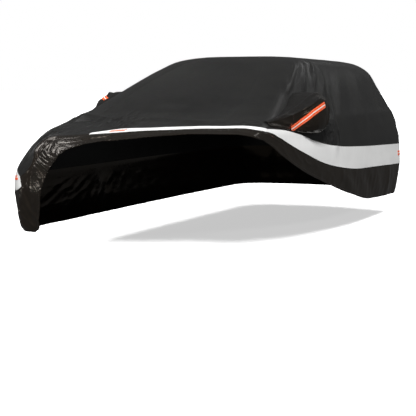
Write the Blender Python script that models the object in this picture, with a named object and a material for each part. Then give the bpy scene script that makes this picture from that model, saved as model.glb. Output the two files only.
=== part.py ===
"""A fitted car cover, hollow, in the shape in which it hangs, with its front hem pulled up.

The cloth follows a form given by level rows, from its ridge to its hem. Stations around the
form carry the skirt's seam, the reflective band and the hem, and every sheet is a grid between
those lines.
"""

import math

import bmesh
import bpy
import numpy as np

# Driving sizes in metres. Heights in the tables are above the ground, and the front is at -Y.
CLOTH = 0.0025  # thickness of a cover panel
BAND = 0.0015  # thickness of the reflective band
WEBBING = 0.0012  # thickness of the orange webbing
ORIGIN = np.array((0.0, 0.55, 1.5035))  # under the cover's highest point, which carries it
WEBBING_WIDTH = 0.046
TAB_LENGTH = 0.11
SEAM_PLAY = 0.0006  # between the seam line and the edge of each sheet that meets there
BAND_SEAT = 0.0004  # how far the band lies off the cloth, 0.3 mm with the facets' play
STRIP_SEAT = 0.0022

# The form: one row for each level, from the ridge of the cover's top down to the tucked hem.
# front and rear are where the middle of each end lies, wide_* the half widths where the ends
# begin, round_* the corner radii and bow_* how far an edge bulges between its corners.
LEVEL_COLUMNS = ("z", "front", "rear", "wide_front", "wide_rear",
                 "round_front", "round_rear", "bow_front", "bow_rear", "bow_side")
LEVELS = (
    (1.506, 0.35, 0.75, 0.000, 0.000, 0.00, 0.00, 0.00, 0.00, 0.000),
    (1.497, -0.06, 1.30, 0.360, 0.300, 0.20, 0.16, 0.04, 0.03, 0.010),
    (1.465, -0.26, 1.72, 0.550, 0.490, 0.24, 0.20, 0.05, 0.05, 0.030),
    (1.385, -0.48, 1.89, 0.630, 0.610, 0.22, 0.22, 0.06, 0.06, 0.030),
    (1.230, -0.86, 1.98, 0.725, 0.700, 0.22, 0.26, 0.07, 0.07, 0.040),
    (1.130, -1.06, 2.03, 0.775, 0.755, 0.24, 0.28, 0.03, 0.07, 0.040),
    (1.050, -1.17, 2.07, 0.815, 0.800, 0.26, 0.30, -0.07, 0.08, 0.040),
    (1.000, -1.36, 2.09, 0.840, 0.830, 0.27, 0.30, -0.04, 0.08, 0.040),
    (0.950, -1.62, 2.11, 0.865, 0.850, 0.28, 0.31, 0.03, 0.08, 0.035),
    (0.900, -1.86, 2.13, 0.880, 0.870, 0.28, 0.32, 0.10, 0.09, 0.030),
    (0.850, -1.98, 2.14, 0.885, 0.885, 0.28, 0.34, 0.13, 0.10, 0.030),
    (0.760, -2.10, 2.17, 0.895, 0.905, 0.28, 0.35, 0.12, 0.10, 0.030),
    (0.640, -2.17, 2.19, 0.905, 0.910, 0.28, 0.36, 0.10, 0.10, 0.030),
    (0.500, -2.19, 2.20, 0.910, 0.915, 0.28, 0.36, 0.10, 0.10, 0.030),
    (0.340, -2.18, 2.18, 0.905, 0.905, 0.28, 0.36, 0.10, 0.10, 0.030),
    (0.240, -2.165, 2.16, 0.880, 0.890, 0.28, 0.36, 0.09, 0.09, 0.030),
    (0.170, -2.13, 2.12, 0.815, 0.875, 0.28, 0.36, 0.08, 0.08, 0.020),
)
BELT = 6.0  # the level of the belt line, where the stations leave the straight columns

# Round the form, a turn is 8 units: the left side 0 to 1 (rear to front), the front corners
# 1 to 2 and 3 to 4 with the front edge between, the right side 4 to 5, the rear corners 5 to 6
# and 7 to 8 with the rear edge between. A station starts at its turn on the top. Its row says
# where the seam and the hem pass it (turn and level), and which share of the way from the seam
# up to the shoulder and down to the hem the band covers.
STATION_COLUMNS = ("turn", "shoulder", "seam_turn", "seam_level", "hem_turn", "hem_level",
                   "up", "down")
STATIONS = (
    (0.00, 6.00, 0.000, 12.34, 0.000, 15.60, 0.112, 0.218),
    (0.25, 6.00, 0.250, 12.08, 0.234, 15.10, 0.110, 0.250),
    (0.42, 6.00, 0.420, 11.91, 0.410, 14.03, 0.120, 0.340),
    (0.57, 6.00, 0.570, 11.48, 0.560, 13.25, 0.117, 0.362),
    (0.68, 6.00, 0.680, 10.86, 0.681, 12.48, 0.117, 0.352),
    (0.78, 6.00, 0.780, 9.96, 0.794, 11.53, 0.164, 0.414),
    (0.83, 6.00, 0.830, 9.50, 0.850, 10.98, 0.183, 0.426),
    (0.88, 6.00, 0.880, 9.01, 0.898, 10.44, 0.163, 0.343),
    (0.94, 6.00, 0.940, 8.50, 0.945, 9.93, 0.098, 0.190),
    (1.00, 6.00, 1.000, 8.24, 0.990, 9.36, 0.074, 0.140),
    (1.10, 6.00, 1.100, 8.11, 1.105, 9.12, 0.072, 0.155),
    (1.25, 6.00, 1.250, 7.97, 1.274, 8.86, 0.080, 0.180),
    (1.60, 6.00, 1.600, 7.72, 1.600, 8.57, 0.082, 0.160),
    (2.05, 6.00, 2.050, 7.79, 2.060, 8.56, 0.078, 0.180),
    (2.25, 6.00, 2.250, 7.95, 2.240, 8.76, 0.082, 0.190),
    (2.45, 6.00, 2.450, 8.17, 2.430, 9.31, 0.075, 0.140),
    (2.60, 6.00, 2.600, 8.40, 2.580, 9.68, 0.100, 0.180),
    (2.70, 6.00, 2.695, 8.68, 2.660, 9.98, 0.055, 0.110),
    (2.76, 6.00, 2.750, 8.84, 2.700, 10.15, 0.040, 0.080),
    (2.92, 6.20, 2.910, 9.16, 2.780, 10.50, 0.070, 0.200),
    (3.10, 6.80, 3.050, 9.36, 2.812, 10.72, 0.090, 0.250),
    (3.30, 7.80, 3.170, 9.60, 2.828, 10.95, 0.100, 0.250),
    (3.50, 8.90, 3.240, 10.05, 2.838, 11.25, 0.110, 0.250),
    (3.70, 9.90, 3.200, 10.70, 2.850, 11.60, 0.120, 0.250),
    (3.87, 10.5, 3.105, 11.15, 2.868, 12.05, 0.130, 0.250),
    (3.98, 10.9, 3.060, 11.60, 2.884, 12.55, 0.180, 0.250),
    (4.06, 11.1, 3.110, 11.98, 2.908, 13.30, 0.260, 0.250),
    (4.11, 11.1, 3.270, 12.26, 2.937, 14.10, 0.290, 0.265),
    (4.16, 10.9, 3.500, 12.36, 2.960, 14.95, 0.300, 0.240),
    (4.22, 10.6, 3.850, 12.36, 3.060, 15.38, 0.300, 0.222),
    (4.30, 10.1, 4.080, 12.35, 3.450, 15.52, 0.300, 0.219),
    (4.40, 9.70, 4.270, 12.35, 4.070, 15.64, 0.268, 0.218),
    (4.55, 8.40, 4.500, 12.34, 4.450, 15.62, 0.178, 0.218),
    (4.75, 6.90, 4.740, 12.34, 4.730, 15.60, 0.129, 0.218),
    (5.00, 6.00, 5.000, 12.34, 5.000, 15.60, 0.112, 0.218),
    (8.00, 6.00, 8.000, 12.34, 8.000, 15.60, 0.112, 0.218),
)
BAND_FRONT_LEFT = 2.76  # the band on the left starts at a point on the nose
BAND_REAR_LEFT = -0.45
BAND_FRONT_RIGHT = 4.11
BAND_REAR_RIGHT = 5.45
TABS = (  # name, turn of its middle, how far it lies off the cloth under the band
    ("tab_front_left", 2.60, 0.0024),
    ("tab_rear_left", -0.07, 0.0024),
    ("tab_front_right", 4.155, 0.0042),
    ("tab_rear_right", 5.07, 0.0024),
)
TAB_COLUMN = 0.01  # the least between a tab's end and its next column
TAB_SHARE = 0.9  # of the way to each edge of its band that a tab may cover

# Grid: how many columns each stretch of the turn has, and the levels of the rows above the
# shoulder. The right side mirrors the left, so both meet the ridge at the same points.
COLUMNS = ((0.0, 0.50, 14), (0.50, 0.98, 26), (0.98, 2.0, 12), (2.0, 3.0, 14),
           (3.0, 4.02, 12), (4.02, 4.50, 26), (4.50, 5.0, 14), (5.0, 6.0, 7),
           (6.0, 7.0, 10), (7.0, 8.0, 7))
TOP_ROWS = (0.0, 0.8, 1.4, 2.0, 2.5, 3.0, 3.6, 4.15, 4.65, 5.1, 5.55, BELT)
BODY_ROWS = 5  # between the shoulder and the upper edge of the band
SKIRT_ROWS = 5  # between the lower edge of the band and the hem
END_COLUMN = 0.01  # the least turn between a band's end and its next column
SLOPE_STEP = 0.01  # of turn and level, by which the form's slope is measured
APEX = 0.3  # the form's normals above this level are taken at it

# Main folds: each is a soft ridge (or a trough, where its height is negative) between two
# points, given by turn and level, with its half width and height in metres.
FOLDS = (
    # turn and level of one end, turn and level of the other, half width, height
    (1.10, 2.30, 0.945, 4.30, 0.040, 0.008),
    (0.98, 2.40, 0.885, 4.10, 0.035, 0.009),
    (0.90, 2.45, 0.845, 4.00, 0.035, -0.007),
    (0.84, 2.50, 0.800, 4.20, 0.040, 0.008),
    (0.72, 2.70, 0.680, 9.50, 0.055, 0.008),
    (0.62, 2.90, 0.600, 8.50, 0.060, -0.006),
    (0.52, 2.80, 0.530, 10.50, 0.060, 0.008),
    (0.40, 3.00, 0.430, 9.50, 0.080, -0.006),
    (0.27, 2.90, 0.300, 10.50, 0.080, 0.007),
    (0.12, 3.20, 0.130, 10.00, 0.080, -0.006),
    (0.560, 8.60, 0.530, 11.30, 0.045, 0.010),
    (0.10, 12.90, 0.080, 15.40, 0.070, 0.012),
    (0.33, 12.80, 0.20, 15.00, 0.070, -0.009),
    (0.50, 12.60, 0.36, 14.20, 0.055, 0.009),
    (3.60, 7.20, 2.90, 7.40, 0.070, 0.016),
    (2.90, 8.10, 2.55, 7.80, 0.050, 0.012),
    (2.40, 7.30, 1.90, 7.10, 0.050, 0.009),
    (3.75, 9.40, 3.45, 12.00, 0.060, -0.010),
    (3.20, 12.9, 3.35, 15.20, 0.050, 0.012),
    (3.45, 13.2, 3.70, 15.40, 0.060, -0.010),
    (4.10, 3.40, 4.22, 8.50, 0.070, 0.008),
    (4.35, 3.00, 4.40, 9.80, 0.080, -0.007),
    (4.55, 3.00, 4.56, 10.6, 0.080, 0.008),
    (4.75, 3.10, 4.72, 10.2, 0.080, -0.006),
    (4.92, 3.10, 4.90, 10.5, 0.080, 0.007),
    (4.30, 13.0, 4.34, 15.4, 0.080, 0.010),
    (4.70, 13.0, 4.66, 15.3, 0.080, -0.009),
    (5.50, 3.30, 5.52, 11.0, 0.080, 0.008),
    (6.30, 2.60, 6.20, 10.5, 0.090, -0.007),
    (6.70, 2.60, 6.80, 11.0, 0.090, 0.008),
    (7.50, 3.30, 7.48, 11.0, 0.080, 0.008),
    (6.50, 12.9, 6.45, 15.4, 0.090, 0.010),
)
FOLD_FADE = 0.6  # how slowly a fold dies out towards its ends: 0 would end it at full height
FOLD_END = 0.02  # the share of a fold's length where it is as good as gone

# No fold runs near a pocket: it fades out over CALM_FADE, in spreads from the pocket's middle.
CALM_MIDDLE = np.array((0.88, -0.78, 1.03))
CALM_SPREAD = np.array((0.30, 0.65, 0.24))
CALM_START = 0.95
CALM_FADE = 0.35

# A mirror pocket: sections from its front point back to its rear end, each at its place along
# the cover, y. low and high bound the section on the cover's side, and reach is how far out
# it goes from the cover's middle.
POCKET_COLUMNS = ("y", "low", "high", "reach")
POCKET = (
    (-1.270, 0.962, 0.995, 0.842),
    (-1.120, 0.945, 1.018, 0.866),
    (-0.960, 0.925, 1.050, 0.888),
    (-0.830, 0.908, 1.090, 0.920),
    (-0.735, 0.895, 1.135, 0.968),
    (-0.640, 0.887, 1.175, 1.000),
    (-0.550, 0.884, 1.195, 1.010),
    (-0.450, 0.890, 1.190, 1.000),
    (-0.380, 0.910, 1.160, 0.950),
    (-0.325, 0.950, 1.110, 0.885),
)
POCKET_STEPS = 10  # over a section
POCKET_SPLITS = 3  # columns of the grid from one section to the next
POCKET_SQUARENESS = 0.70  # 1 is an ellipse and less is squarer
POCKET_LEAN = (-0.08, 0.06)  # forwards and up, for each metre that a pocket stands out
POCKET_SHALLOW = 0.006  # the least that a section stands off the side
POCKET_SEATS = {1: 0.0016, -1: 0.0023}  # how far a rim lies off the body, by the side's sign
OPENING_SHARE = 0.80  # of a pocket's height, cut away in the body under it
OPENING_FRONT = 0.34  # from a pocket's front point to the opening
OPENING_REAR = 0.05
SIDE_LEVELS = 1601  # heights at which the form's side is looked up
SIDE_CORNER = 0.99  # the furthest round a front corner that the side is looked up
SIDE_REACH = 0.63  # the opening is cut only in cloth that lies further out than this

# The webbing across each pocket: its middle line, by place along the cover and by share of the
# way from the pocket's lower rim to its upper one.
STRIP_COLUMNS = ("y", "share")
STRIPS = {
    "left": ((-0.945, 0.18), (-0.905, 0.32), (-0.850, 0.43), (-0.790, 0.49), (-0.714, 0.525),
             (-0.641, 0.548), (-0.550, 0.57)),
    "right": ((-0.410, 0.38), (-0.450, 0.50), (-0.500, 0.60), (-0.580, 0.69), (-0.660, 0.78),
              (-0.730, 0.88)),
}
STRIP_STEPS = 14
STRIP_ROUND = 0.002  # of place and share, by which a pocket's slope is measured under webbing
POCKET_ROUND = 0.004  # the same, for a pocket's normals

# Linear colour and roughness of each material.
MATTE_BLACK = ((0.030, 0.030, 0.030), 0.70)
GLOSS_BLACK = ((0.008, 0.007, 0.006), 0.28)
SILVER = ((0.66, 0.66, 0.66), 0.45)
ORANGE = ((0.83, 0.12, 0.03), 0.60)


def clear_scene():
    for obj in list(bpy.data.objects):
        bpy.data.objects.remove(obj, do_unlink=True)


def column(table, names, name):
    """One named column of a table."""
    return np.array([row[names.index(name)] for row in table])


def smooth(xs, ys, x):
    """A curve through the points that never overshoots them (monotone cubic)."""
    steps = np.diff(xs)
    rises = np.diff(ys) / steps
    slopes = np.concatenate(([rises[0]], np.zeros(len(xs) - 2), [rises[-1]]))
    for i in range(1, len(xs) - 1):
        before, after = rises[i - 1], rises[i]
        if before * after > 0:
            w_before = 2 * steps[i] + steps[i - 1]
            w_after = steps[i] + 2 * steps[i - 1]
            slopes[i] = (w_before + w_after) / (w_before / before + w_after / after)
    x = np.clip(x, xs[0], xs[-1])
    i = np.clip(np.searchsorted(xs, x, side="right") - 1, 0, len(xs) - 2)
    u = (x - xs[i]) / steps[i]
    return ((1 + 2 * u) * (1 - u) ** 2 * ys[i] + u * (1 - u) ** 2 * steps[i] * slopes[i]
            + u * u * (3 - 2 * u) * ys[i + 1] - u * u * (1 - u) * steps[i] * slopes[i + 1])


def level_sizes(level):
    """Every size of the form at these levels, by name."""
    rows = np.arange(len(LEVELS), dtype=float)
    return {name: smooth(rows, column(LEVELS, LEVEL_COLUMNS, name), level)
            for name in LEVEL_COLUMNS}


def corner(at, sign, reach, end, radius, outwards):
    """Points of a corner arc: at is the share of the quarter turn away from the side."""
    angle = at * math.pi / 2
    x = sign * (reach - radius + radius * np.cos(angle))
    return x, end - outwards * radius + outwards * radius * np.sin(angle)


def form(turn, level):
    """The smooth form at these turns and levels."""
    turn, level = np.broadcast_arrays(np.mod(turn, 8.0), np.asarray(level, dtype=float))
    size = level_sizes(level)
    stretch = np.floor(turn).astype(int)
    u = turn - stretch
    front = size["front"] + size["bow_front"]
    rear = size["rear"] - size["bow_rear"]
    wide_front, wide_rear = size["wide_front"], size["wide_rear"]
    r_front, r_rear = size["round_front"], size["round_rear"]
    x, y = np.zeros(turn.shape), np.zeros(turn.shape)
    for number, sign in ((0, 1), (4, -1)):
        along = u if number == 0 else 1 - u
        bulge = size["bow_side"] * (1 - (2 * along - 1) ** 2)
        here = stretch == number
        side_x = sign * (wide_rear + (wide_front - wide_rear) * along + bulge)
        side_y = rear - r_rear + (front + r_front - rear + r_rear) * along
        x[here], y[here] = side_x[here], side_y[here]
    for number, sign, at, is_front in ((1, 1, u, True), (3, -1, 1 - u, True),
                                       (5, -1, u, False), (7, 1, 1 - u, False)):
        reach, end, radius = (wide_front, front, r_front) if is_front else (wide_rear, rear, r_rear)
        arc_x, arc_y = corner(at, sign, reach, end, radius, -1 if is_front else 1)
        here = stretch == number
        x[here], y[here] = arc_x[here], arc_y[here]
    for number, half, end, bulge in ((2, wide_front - r_front, front, -size["bow_front"]),
                                     (6, r_rear - wide_rear, rear, size["bow_rear"])):
        here = stretch == number
        edge_x = half * (1 - 2 * u)
        edge_y = end + bulge * (1 - (2 * u - 1) ** 2)
        x[here], y[here] = edge_x[here], edge_y[here]
    return np.stack((x, y, size["z"]), axis=-1)


def unit(vectors):
    return vectors / np.maximum(np.linalg.norm(vectors, axis=-1, keepdims=True), 1e-12)


def outward(turn, level):
    """Unit normals of the form, pointing out of the cover."""
    low = np.maximum(level, APEX)
    around = form(turn + SLOPE_STEP, low) - form(turn - SLOPE_STEP, low)
    down = form(turn, low + SLOPE_STEP) - form(turn, low - SLOPE_STEP)
    return unit(np.cross(around, down))


def fold_lift(points):
    """How far the folds lift the cloth at these points of the form."""
    lift = np.zeros(points.shape[:-1])
    for turn_a, level_a, turn_b, level_b, half_width, height in FOLDS:
        start, end = form(turn_a, level_a), form(turn_b, level_b)
        run = end - start
        along = np.clip((points - start) @ run / (run @ run), 0, 1)
        away = np.linalg.norm(points - start - along[..., None] * run, axis=-1)
        fade = np.sin(math.pi * np.clip(along, FOLD_END, 1 - FOLD_END)) ** FOLD_FADE
        lift += height * fade * np.exp(-((away / half_width) ** 2))
    return lift


def pocket_calm(points):
    """0 where a pocket is sewn on, so that no fold runs under its rim, and 1 away from it."""
    mirrored = np.abs(points * (1, 0, 0)) + points * (0, 1, 1)
    away = np.linalg.norm((mirrored - CALM_MIDDLE) / CALM_SPREAD, axis=-1)
    return np.clip((away - CALM_START) / CALM_FADE, 0, 1)


def cloth(turn, level, lift=0.0):
    """Points of the cover's outer face at these turns and levels, raised by lift."""
    points = form(turn, level)
    folds = fold_lift(points) * pocket_calm(points)
    return points + outward(turn, level) * (folds + lift)[..., None]


def station(turn):
    """Where the lines of the cover pass the stations that start at these turns."""
    base = np.mod(turn, 8.0)
    laps = turn - base
    starts = column(STATIONS, STATION_COLUMNS, "turn")
    line = {name: smooth(starts, column(STATIONS, STATION_COLUMNS, name), base)
            for name in STATION_COLUMNS[1:]}
    for name in ("seam_turn", "hem_turn"):
        line[name] = line[name] + laps
    return line


def part_way(start, end, share):
    """Turn and level of points that lie this share of the way between two lines."""
    return tuple(a + (b - a) * share for a, b in zip(start, end))


def beside(line, towards, distance):
    """A line moved by this distance towards another one."""
    apart = np.linalg.norm(form(*towards) - form(*line), axis=-1)
    return part_way(line, towards, distance / apart)


def lines(turns):
    """The shoulder, both edges of the band, the seam and the hem, each as turns and levels."""
    at = station(turns)
    shoulder = (turns, at["shoulder"])
    seam = (at["seam_turn"], at["seam_level"])
    hem = (at["hem_turn"], at["hem_level"])
    top = part_way(seam, shoulder, at["up"])
    low = part_way(seam, hem, at["down"])
    return shoulder, top, seam, low, hem


def grid_turns():
    """The turns of the grid's columns, once round."""
    return np.concatenate([np.linspace(a, b, n, endpoint=False) for a, b, n in COLUMNS])


def material(name, colour, roughness):
    made = bpy.data.materials.new(name)
    made.use_nodes = True
    shader = made.node_tree.nodes["Principled BSDF"]
    shader.inputs["Base Color"].default_value = (*colour, 1.0)
    shader.inputs["Roughness"].default_value = roughness
    shader.inputs["Metallic"].default_value = 0.0
    return made


def solid_sheet(name, outer, inner, look, ring=False, holes=None):
    """One closed sheet between two grids of points, each of rows x columns x 3.

    ring joins the last column to the first, and holes marks the cells that are cut out.
    Every cell has the same diagonal, so sheets on the same columns lie flat on each other.
    """
    rows, across = outer.shape[:2]
    shell = bmesh.new()
    at, under = {}, {}
    for i in range(rows):
        for j in range(across):
            place = tuple(np.round(outer[i, j], 5))
            if place not in at:
                at[place] = shell.verts.new(outer[i, j] - ORIGIN)
                under[at[place]] = shell.verts.new(inner[i, j] - ORIGIN)
    grid = [[at[tuple(np.round(point, 5))] for point in row] for row in outer]
    for i in range(rows - 1):
        for j in range(across if ring else across - 1):
            if holes is not None and holes[i, j]:
                continue
            a, b = grid[i][j], grid[i + 1][j]
            c, d = grid[i + 1][(j + 1) % across], grid[i][(j + 1) % across]
            for corners in ((a, d, c), (a, c, b)):
                if len(set(corners)) == 3:
                    shell.faces.new(corners)
                    shell.faces.new([under[vertex] for vertex in reversed(corners)])
    for edge in [e for e in shell.edges if len(e.link_faces) == 1 and e.verts[0] in under]:
        start = edge.link_loops[0].vert
        end = edge.other_vert(start)
        shell.faces.new((end, start, under[start], under[end]))
    loose = [vertex for vertex in shell.verts if not vertex.link_faces]
    bmesh.ops.delete(shell, geom=loose, context="VERTS")
    mesh = bpy.data.meshes.new(name)
    shell.to_mesh(mesh)
    shell.free()
    mesh.shade_smooth()
    mesh.materials.append(material(name, *look))
    obj = bpy.data.objects.new(name, mesh)
    bpy.context.collection.objects.link(obj)
    return obj


def cover_sheet(name, rows, bottom, top, look, ring=False, holes=None):
    """A sheet that follows the cover, between two heights above the cover's outer face."""
    outer = np.array([cloth(turn, level, top) for turn, level in rows])
    inner = np.array([cloth(turn, level, bottom) for turn, level in rows])
    return solid_sheet(name, outer, inner, look, ring, holes)


def side_point(y, z, sign):
    """The point of the smooth form's side at this y and z, and the outward normal there."""
    levels = np.linspace(0, len(LEVELS) - 1, SIDE_LEVELS)
    level = np.interp(-z, -level_sizes(levels)["z"], levels)
    size = level_sizes(level)
    start = size["rear"] - size["bow_rear"] - size["round_rear"]
    stop = size["front"] + size["bow_front"] + size["round_front"]
    past = np.clip((stop - y) / size["round_front"], 0, SIDE_CORNER)
    turn = np.where(y >= stop, (start - y) / (start - stop), 1 + np.arcsin(past) * 2 / math.pi)
    turn = turn if sign > 0 else 5 - turn
    return form(turn, level), outward(turn, level)


def pocket_limits(y):
    """The low and high edges of a pocket and its reach outwards, at this y."""
    along = column(POCKET, POCKET_COLUMNS, "y")
    return [smooth(along, column(POCKET, POCKET_COLUMNS, name), y)
            for name in POCKET_COLUMNS[1:]]


def pocket_point(y, share, sign):
    """A point of a pocket's inner face: share goes from its lower rim, 0, to its upper rim, 1."""
    low, high, reach = pocket_limits(y)
    angle = math.pi * share
    across = -np.sign(np.cos(angle)) * np.abs(np.cos(angle)) ** POCKET_SQUARENESS
    base, normal = side_point(y, (low + high) / 2 + across * (high - low) / 2, sign)
    depth = np.maximum(reach - np.abs(base[..., 0]), POCKET_SHALLOW)
    stand = depth * np.abs(np.sin(angle)) ** POCKET_SQUARENESS
    outwards = unit(np.array((sign, *POCKET_LEAN)))
    return base + normal * POCKET_SEATS[sign] + outwards * stand[..., None]


def pocket_normal(y, share, sign):
    """Unit normal of a pocket at this place, away from the cover."""
    first, last = POCKET[0][0], POCKET[-1][0]
    before, after = np.maximum(y - POCKET_ROUND, first), np.minimum(y + POCKET_ROUND, last)
    under, over = np.maximum(share - POCKET_ROUND, 0), np.minimum(share + POCKET_ROUND, 1)
    along = pocket_point(after, share, sign) - pocket_point(before, share, sign)
    across = pocket_point(y, over, sign) - pocket_point(y, under, sign)
    return unit(np.cross(along, across)) * sign


def pocket_sheet(name, y, share, sign, bottom, top, look):
    """A sheet that follows a pocket, between two heights above the pocket's inner face."""
    points, normals = pocket_point(y, share, sign), pocket_normal(y, share, sign)
    outer, inner = points + normals * top, points + normals * bottom
    outer, inner = outer[:, ::-1], inner[:, ::-1]
    if sign > 0:
        outer, inner = outer.transpose(1, 0, 2), inner.transpose(1, 0, 2)
    return solid_sheet(name, outer, inner, look)


def under_pocket(points):
    """True where the body is cut away under a pocket."""
    first, last = POCKET[0][0], POCKET[-1][0]
    low, high, _ = pocket_limits(points[..., 1])
    height = np.abs(points[..., 2] - (low + high) / 2) < OPENING_SHARE * (high - low) / 2
    length = (points[..., 1] > first + OPENING_FRONT) & (points[..., 1] < last - OPENING_REAR)
    return height & length & (np.abs(points[..., 0]) > SIDE_REACH)


def make_body():
    """The matte upper cover: top, slopes and sides, down to the skirt's seam."""
    turns = grid_turns()
    shoulder, top, seam, _, _ = lines(turns)
    dip = shoulder[1] - BELT
    rows = [(turns, level + dip * (level / BELT) ** 2) for level in TOP_ROWS]
    rows += [part_way(shoulder, top, i / BODY_ROWS) for i in range(1, BODY_ROWS + 1)]
    rows.append(beside(seam, top, SEAM_PLAY))
    points = np.array([form(turn, level) for turn, level in rows])
    inside = under_pocket(points)
    across = np.roll(inside, -1, axis=1)
    holes = inside[:-1] & inside[1:] & across[:-1] & across[1:]
    return cover_sheet("body", rows, -CLOTH, 0.0, MATTE_BLACK, ring=True, holes=holes)


def make_skirt():
    """The glossy lower cover, which is pulled up at the front."""
    _, _, seam, low, hem = lines(grid_turns())
    rows = [beside(seam, low, SEAM_PLAY)]
    rows += [part_way(low, hem, i / SKIRT_ROWS) for i in range(SKIRT_ROWS + 1)]
    return cover_sheet("skirt", rows, -CLOTH, 0.0, GLOSS_BLACK, ring=True)


def between(turns, first, last):
    """The columns from first to last, which may pass the start of the turn, ends included."""
    laps = np.concatenate((turns - 8, turns))
    inner = laps[(laps > first + END_COLUMN) & (laps < last - END_COLUMN)]
    return np.concatenate(((first,), inner, (last,)))


def make_band(side, first, last):
    """A reflective band over the seam of one side, on the cover's own columns."""
    _, top, seam, low, _ = lines(between(grid_turns(), first, last)[1:-1])
    return cover_sheet(f"band_{side}", [top, seam, low], BAND_SEAT, BAND_SEAT + BAND, SILVER)


def make_tab(name, middle, seat):
    """A length of orange webbing along the middle of a band, flat on the band's own facets."""
    turns = between(grid_turns(), middle - 1, middle + 1)
    _, top, seam, low, _ = lines(turns)
    seam_points = cloth(*seam)
    steps = np.linalg.norm(np.diff(seam_points, axis=0), axis=1)
    along = np.concatenate(((0,), np.cumsum(steps)))
    start = np.interp(middle, turns, along) - TAB_LENGTH / 2
    end = start + TAB_LENGTH
    inner = along[(along > start + TAB_COLUMN) & (along < end - TAB_COLUMN)]
    places = np.concatenate(((start,), inner, (end,)))
    rows, normals = [], []
    for line in (top, seam, low):
        away = cloth(*line) - seam_points
        width = np.maximum(np.linalg.norm(away, axis=1, keepdims=True), 1e-6)
        share = np.minimum(WEBBING_WIDTH / 2 / width, TAB_SHARE)
        turned = outward(*seam) + (outward(*line) - outward(*seam)) * share
        rows.append(at_places(seam_points + away * share, along, places))
        normals.append(at_places(turned, along, places))
    rows, normals = np.array(rows), unit(np.array(normals))
    outer = rows + normals * (seat + WEBBING)
    return solid_sheet(name, outer, rows + normals * seat, ORANGE)


def at_places(points, along, places):
    """Points read off a polyline at these distances along it."""
    return np.stack([np.interp(places, along, values) for values in points.T], axis=1)


def make_pocket(side, sign):
    """A hollow mirror pocket, sewn round an opening in the body."""
    along = column(POCKET, POCKET_COLUMNS, "y")
    places = np.arange((len(along) - 1) * POCKET_SPLITS + 1) / POCKET_SPLITS
    y = np.interp(places, np.arange(len(along)), along)
    share = np.linspace(0, 1, POCKET_STEPS + 1)
    grid = np.meshgrid(y, share, indexing="xy")
    return pocket_sheet(f"mirror_pocket_{side}", *grid, sign, 0.0, CLOTH, GLOSS_BLACK)


def strip_grid(side, sign):
    """Places and shares of a grid on a pocket, three wide, along its webbing."""
    knots = np.arange(len(STRIPS[side]), dtype=float)
    at = np.linspace(0, knots[-1], STRIP_STEPS)
    y, share = [smooth(knots, column(STRIPS[side], STRIP_COLUMNS, name), at)
                for name in STRIP_COLUMNS]
    step = STRIP_ROUND
    by_y = (pocket_point(y + step, share, sign) - pocket_point(y - step, share, sign)) / (2 * step)
    by_share = (pocket_point(y, share + step, sign)
                - pocket_point(y, share - step, sign)) / (2 * step)
    run = np.gradient(pocket_point(y, share, sign), axis=0)
    aside = unit(np.cross(run, np.cross(by_y, by_share)))
    slopes = np.stack((by_y, by_share), axis=-1)
    turned = np.swapaxes(slopes, -1, -2)
    move = np.linalg.solve(turned @ slopes, turned @ aside[..., None])[..., 0]
    offsets = np.array((-0.5, 0.0, 0.5)) * WEBBING_WIDTH
    return y[:, None] + move[:, :1] * offsets, share[:, None] + move[:, 1:] * offsets


def make_strip(side, sign):
    """The orange webbing across the face of a mirror pocket."""
    y, share = strip_grid(side, sign)
    bottom = CLOTH + STRIP_SEAT
    return pocket_sheet(f"pocket_strip_{side}", y, share, sign, bottom,
                        bottom + WEBBING, ORANGE)


def main():
    clear_scene()
    make_body()
    make_skirt()
    make_band("left", BAND_REAR_LEFT, BAND_FRONT_LEFT)
    make_band("right", BAND_FRONT_RIGHT, BAND_REAR_RIGHT)
    for name, turn, seat in TABS:
        make_tab(name, turn, seat)
    for side, sign in (("left", 1), ("right", -1)):
        make_pocket(side, sign)
        make_strip(side, sign)


main()
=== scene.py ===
"""Looks for a fitted car cover: matte cloth above, glossy film below, band, webbing and pockets.

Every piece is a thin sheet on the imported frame, built from the cover's own lines: a form given
by level rows, and stations round it that carry the skirt's seam, the band and the hem.
"""

import itertools
import math

import bpy
import numpy as np
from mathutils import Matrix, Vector


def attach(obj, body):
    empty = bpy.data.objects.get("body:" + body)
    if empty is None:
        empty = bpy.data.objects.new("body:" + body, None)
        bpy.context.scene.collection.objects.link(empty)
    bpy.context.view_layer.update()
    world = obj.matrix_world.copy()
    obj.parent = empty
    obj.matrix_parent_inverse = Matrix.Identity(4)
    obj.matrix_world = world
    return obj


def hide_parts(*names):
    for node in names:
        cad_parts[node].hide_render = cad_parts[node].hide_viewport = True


bl_info = {
    "name": "Fitted Car Cover",
    "version": (1, 0, 0),
    "blender": (4, 5, 0),
    "location": "View3D > Sidebar > Cover",
    "description": "Builds the sheets, webbing, stitching and studio of a fitted cover",
    "category": "Object",
}

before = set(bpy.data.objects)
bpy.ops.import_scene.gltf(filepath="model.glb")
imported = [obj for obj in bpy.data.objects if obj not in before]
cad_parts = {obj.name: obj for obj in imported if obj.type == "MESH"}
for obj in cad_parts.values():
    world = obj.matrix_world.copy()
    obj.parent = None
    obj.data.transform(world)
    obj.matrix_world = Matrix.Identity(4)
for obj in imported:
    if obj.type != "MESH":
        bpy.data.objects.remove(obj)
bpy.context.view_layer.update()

# --- The cover's form, in metres above the ground, front at -Y -------------------------------

ORIGIN = np.array((0.0, 0.55, 1.5035))  # the frame's origin, under the cover's highest point

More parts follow.
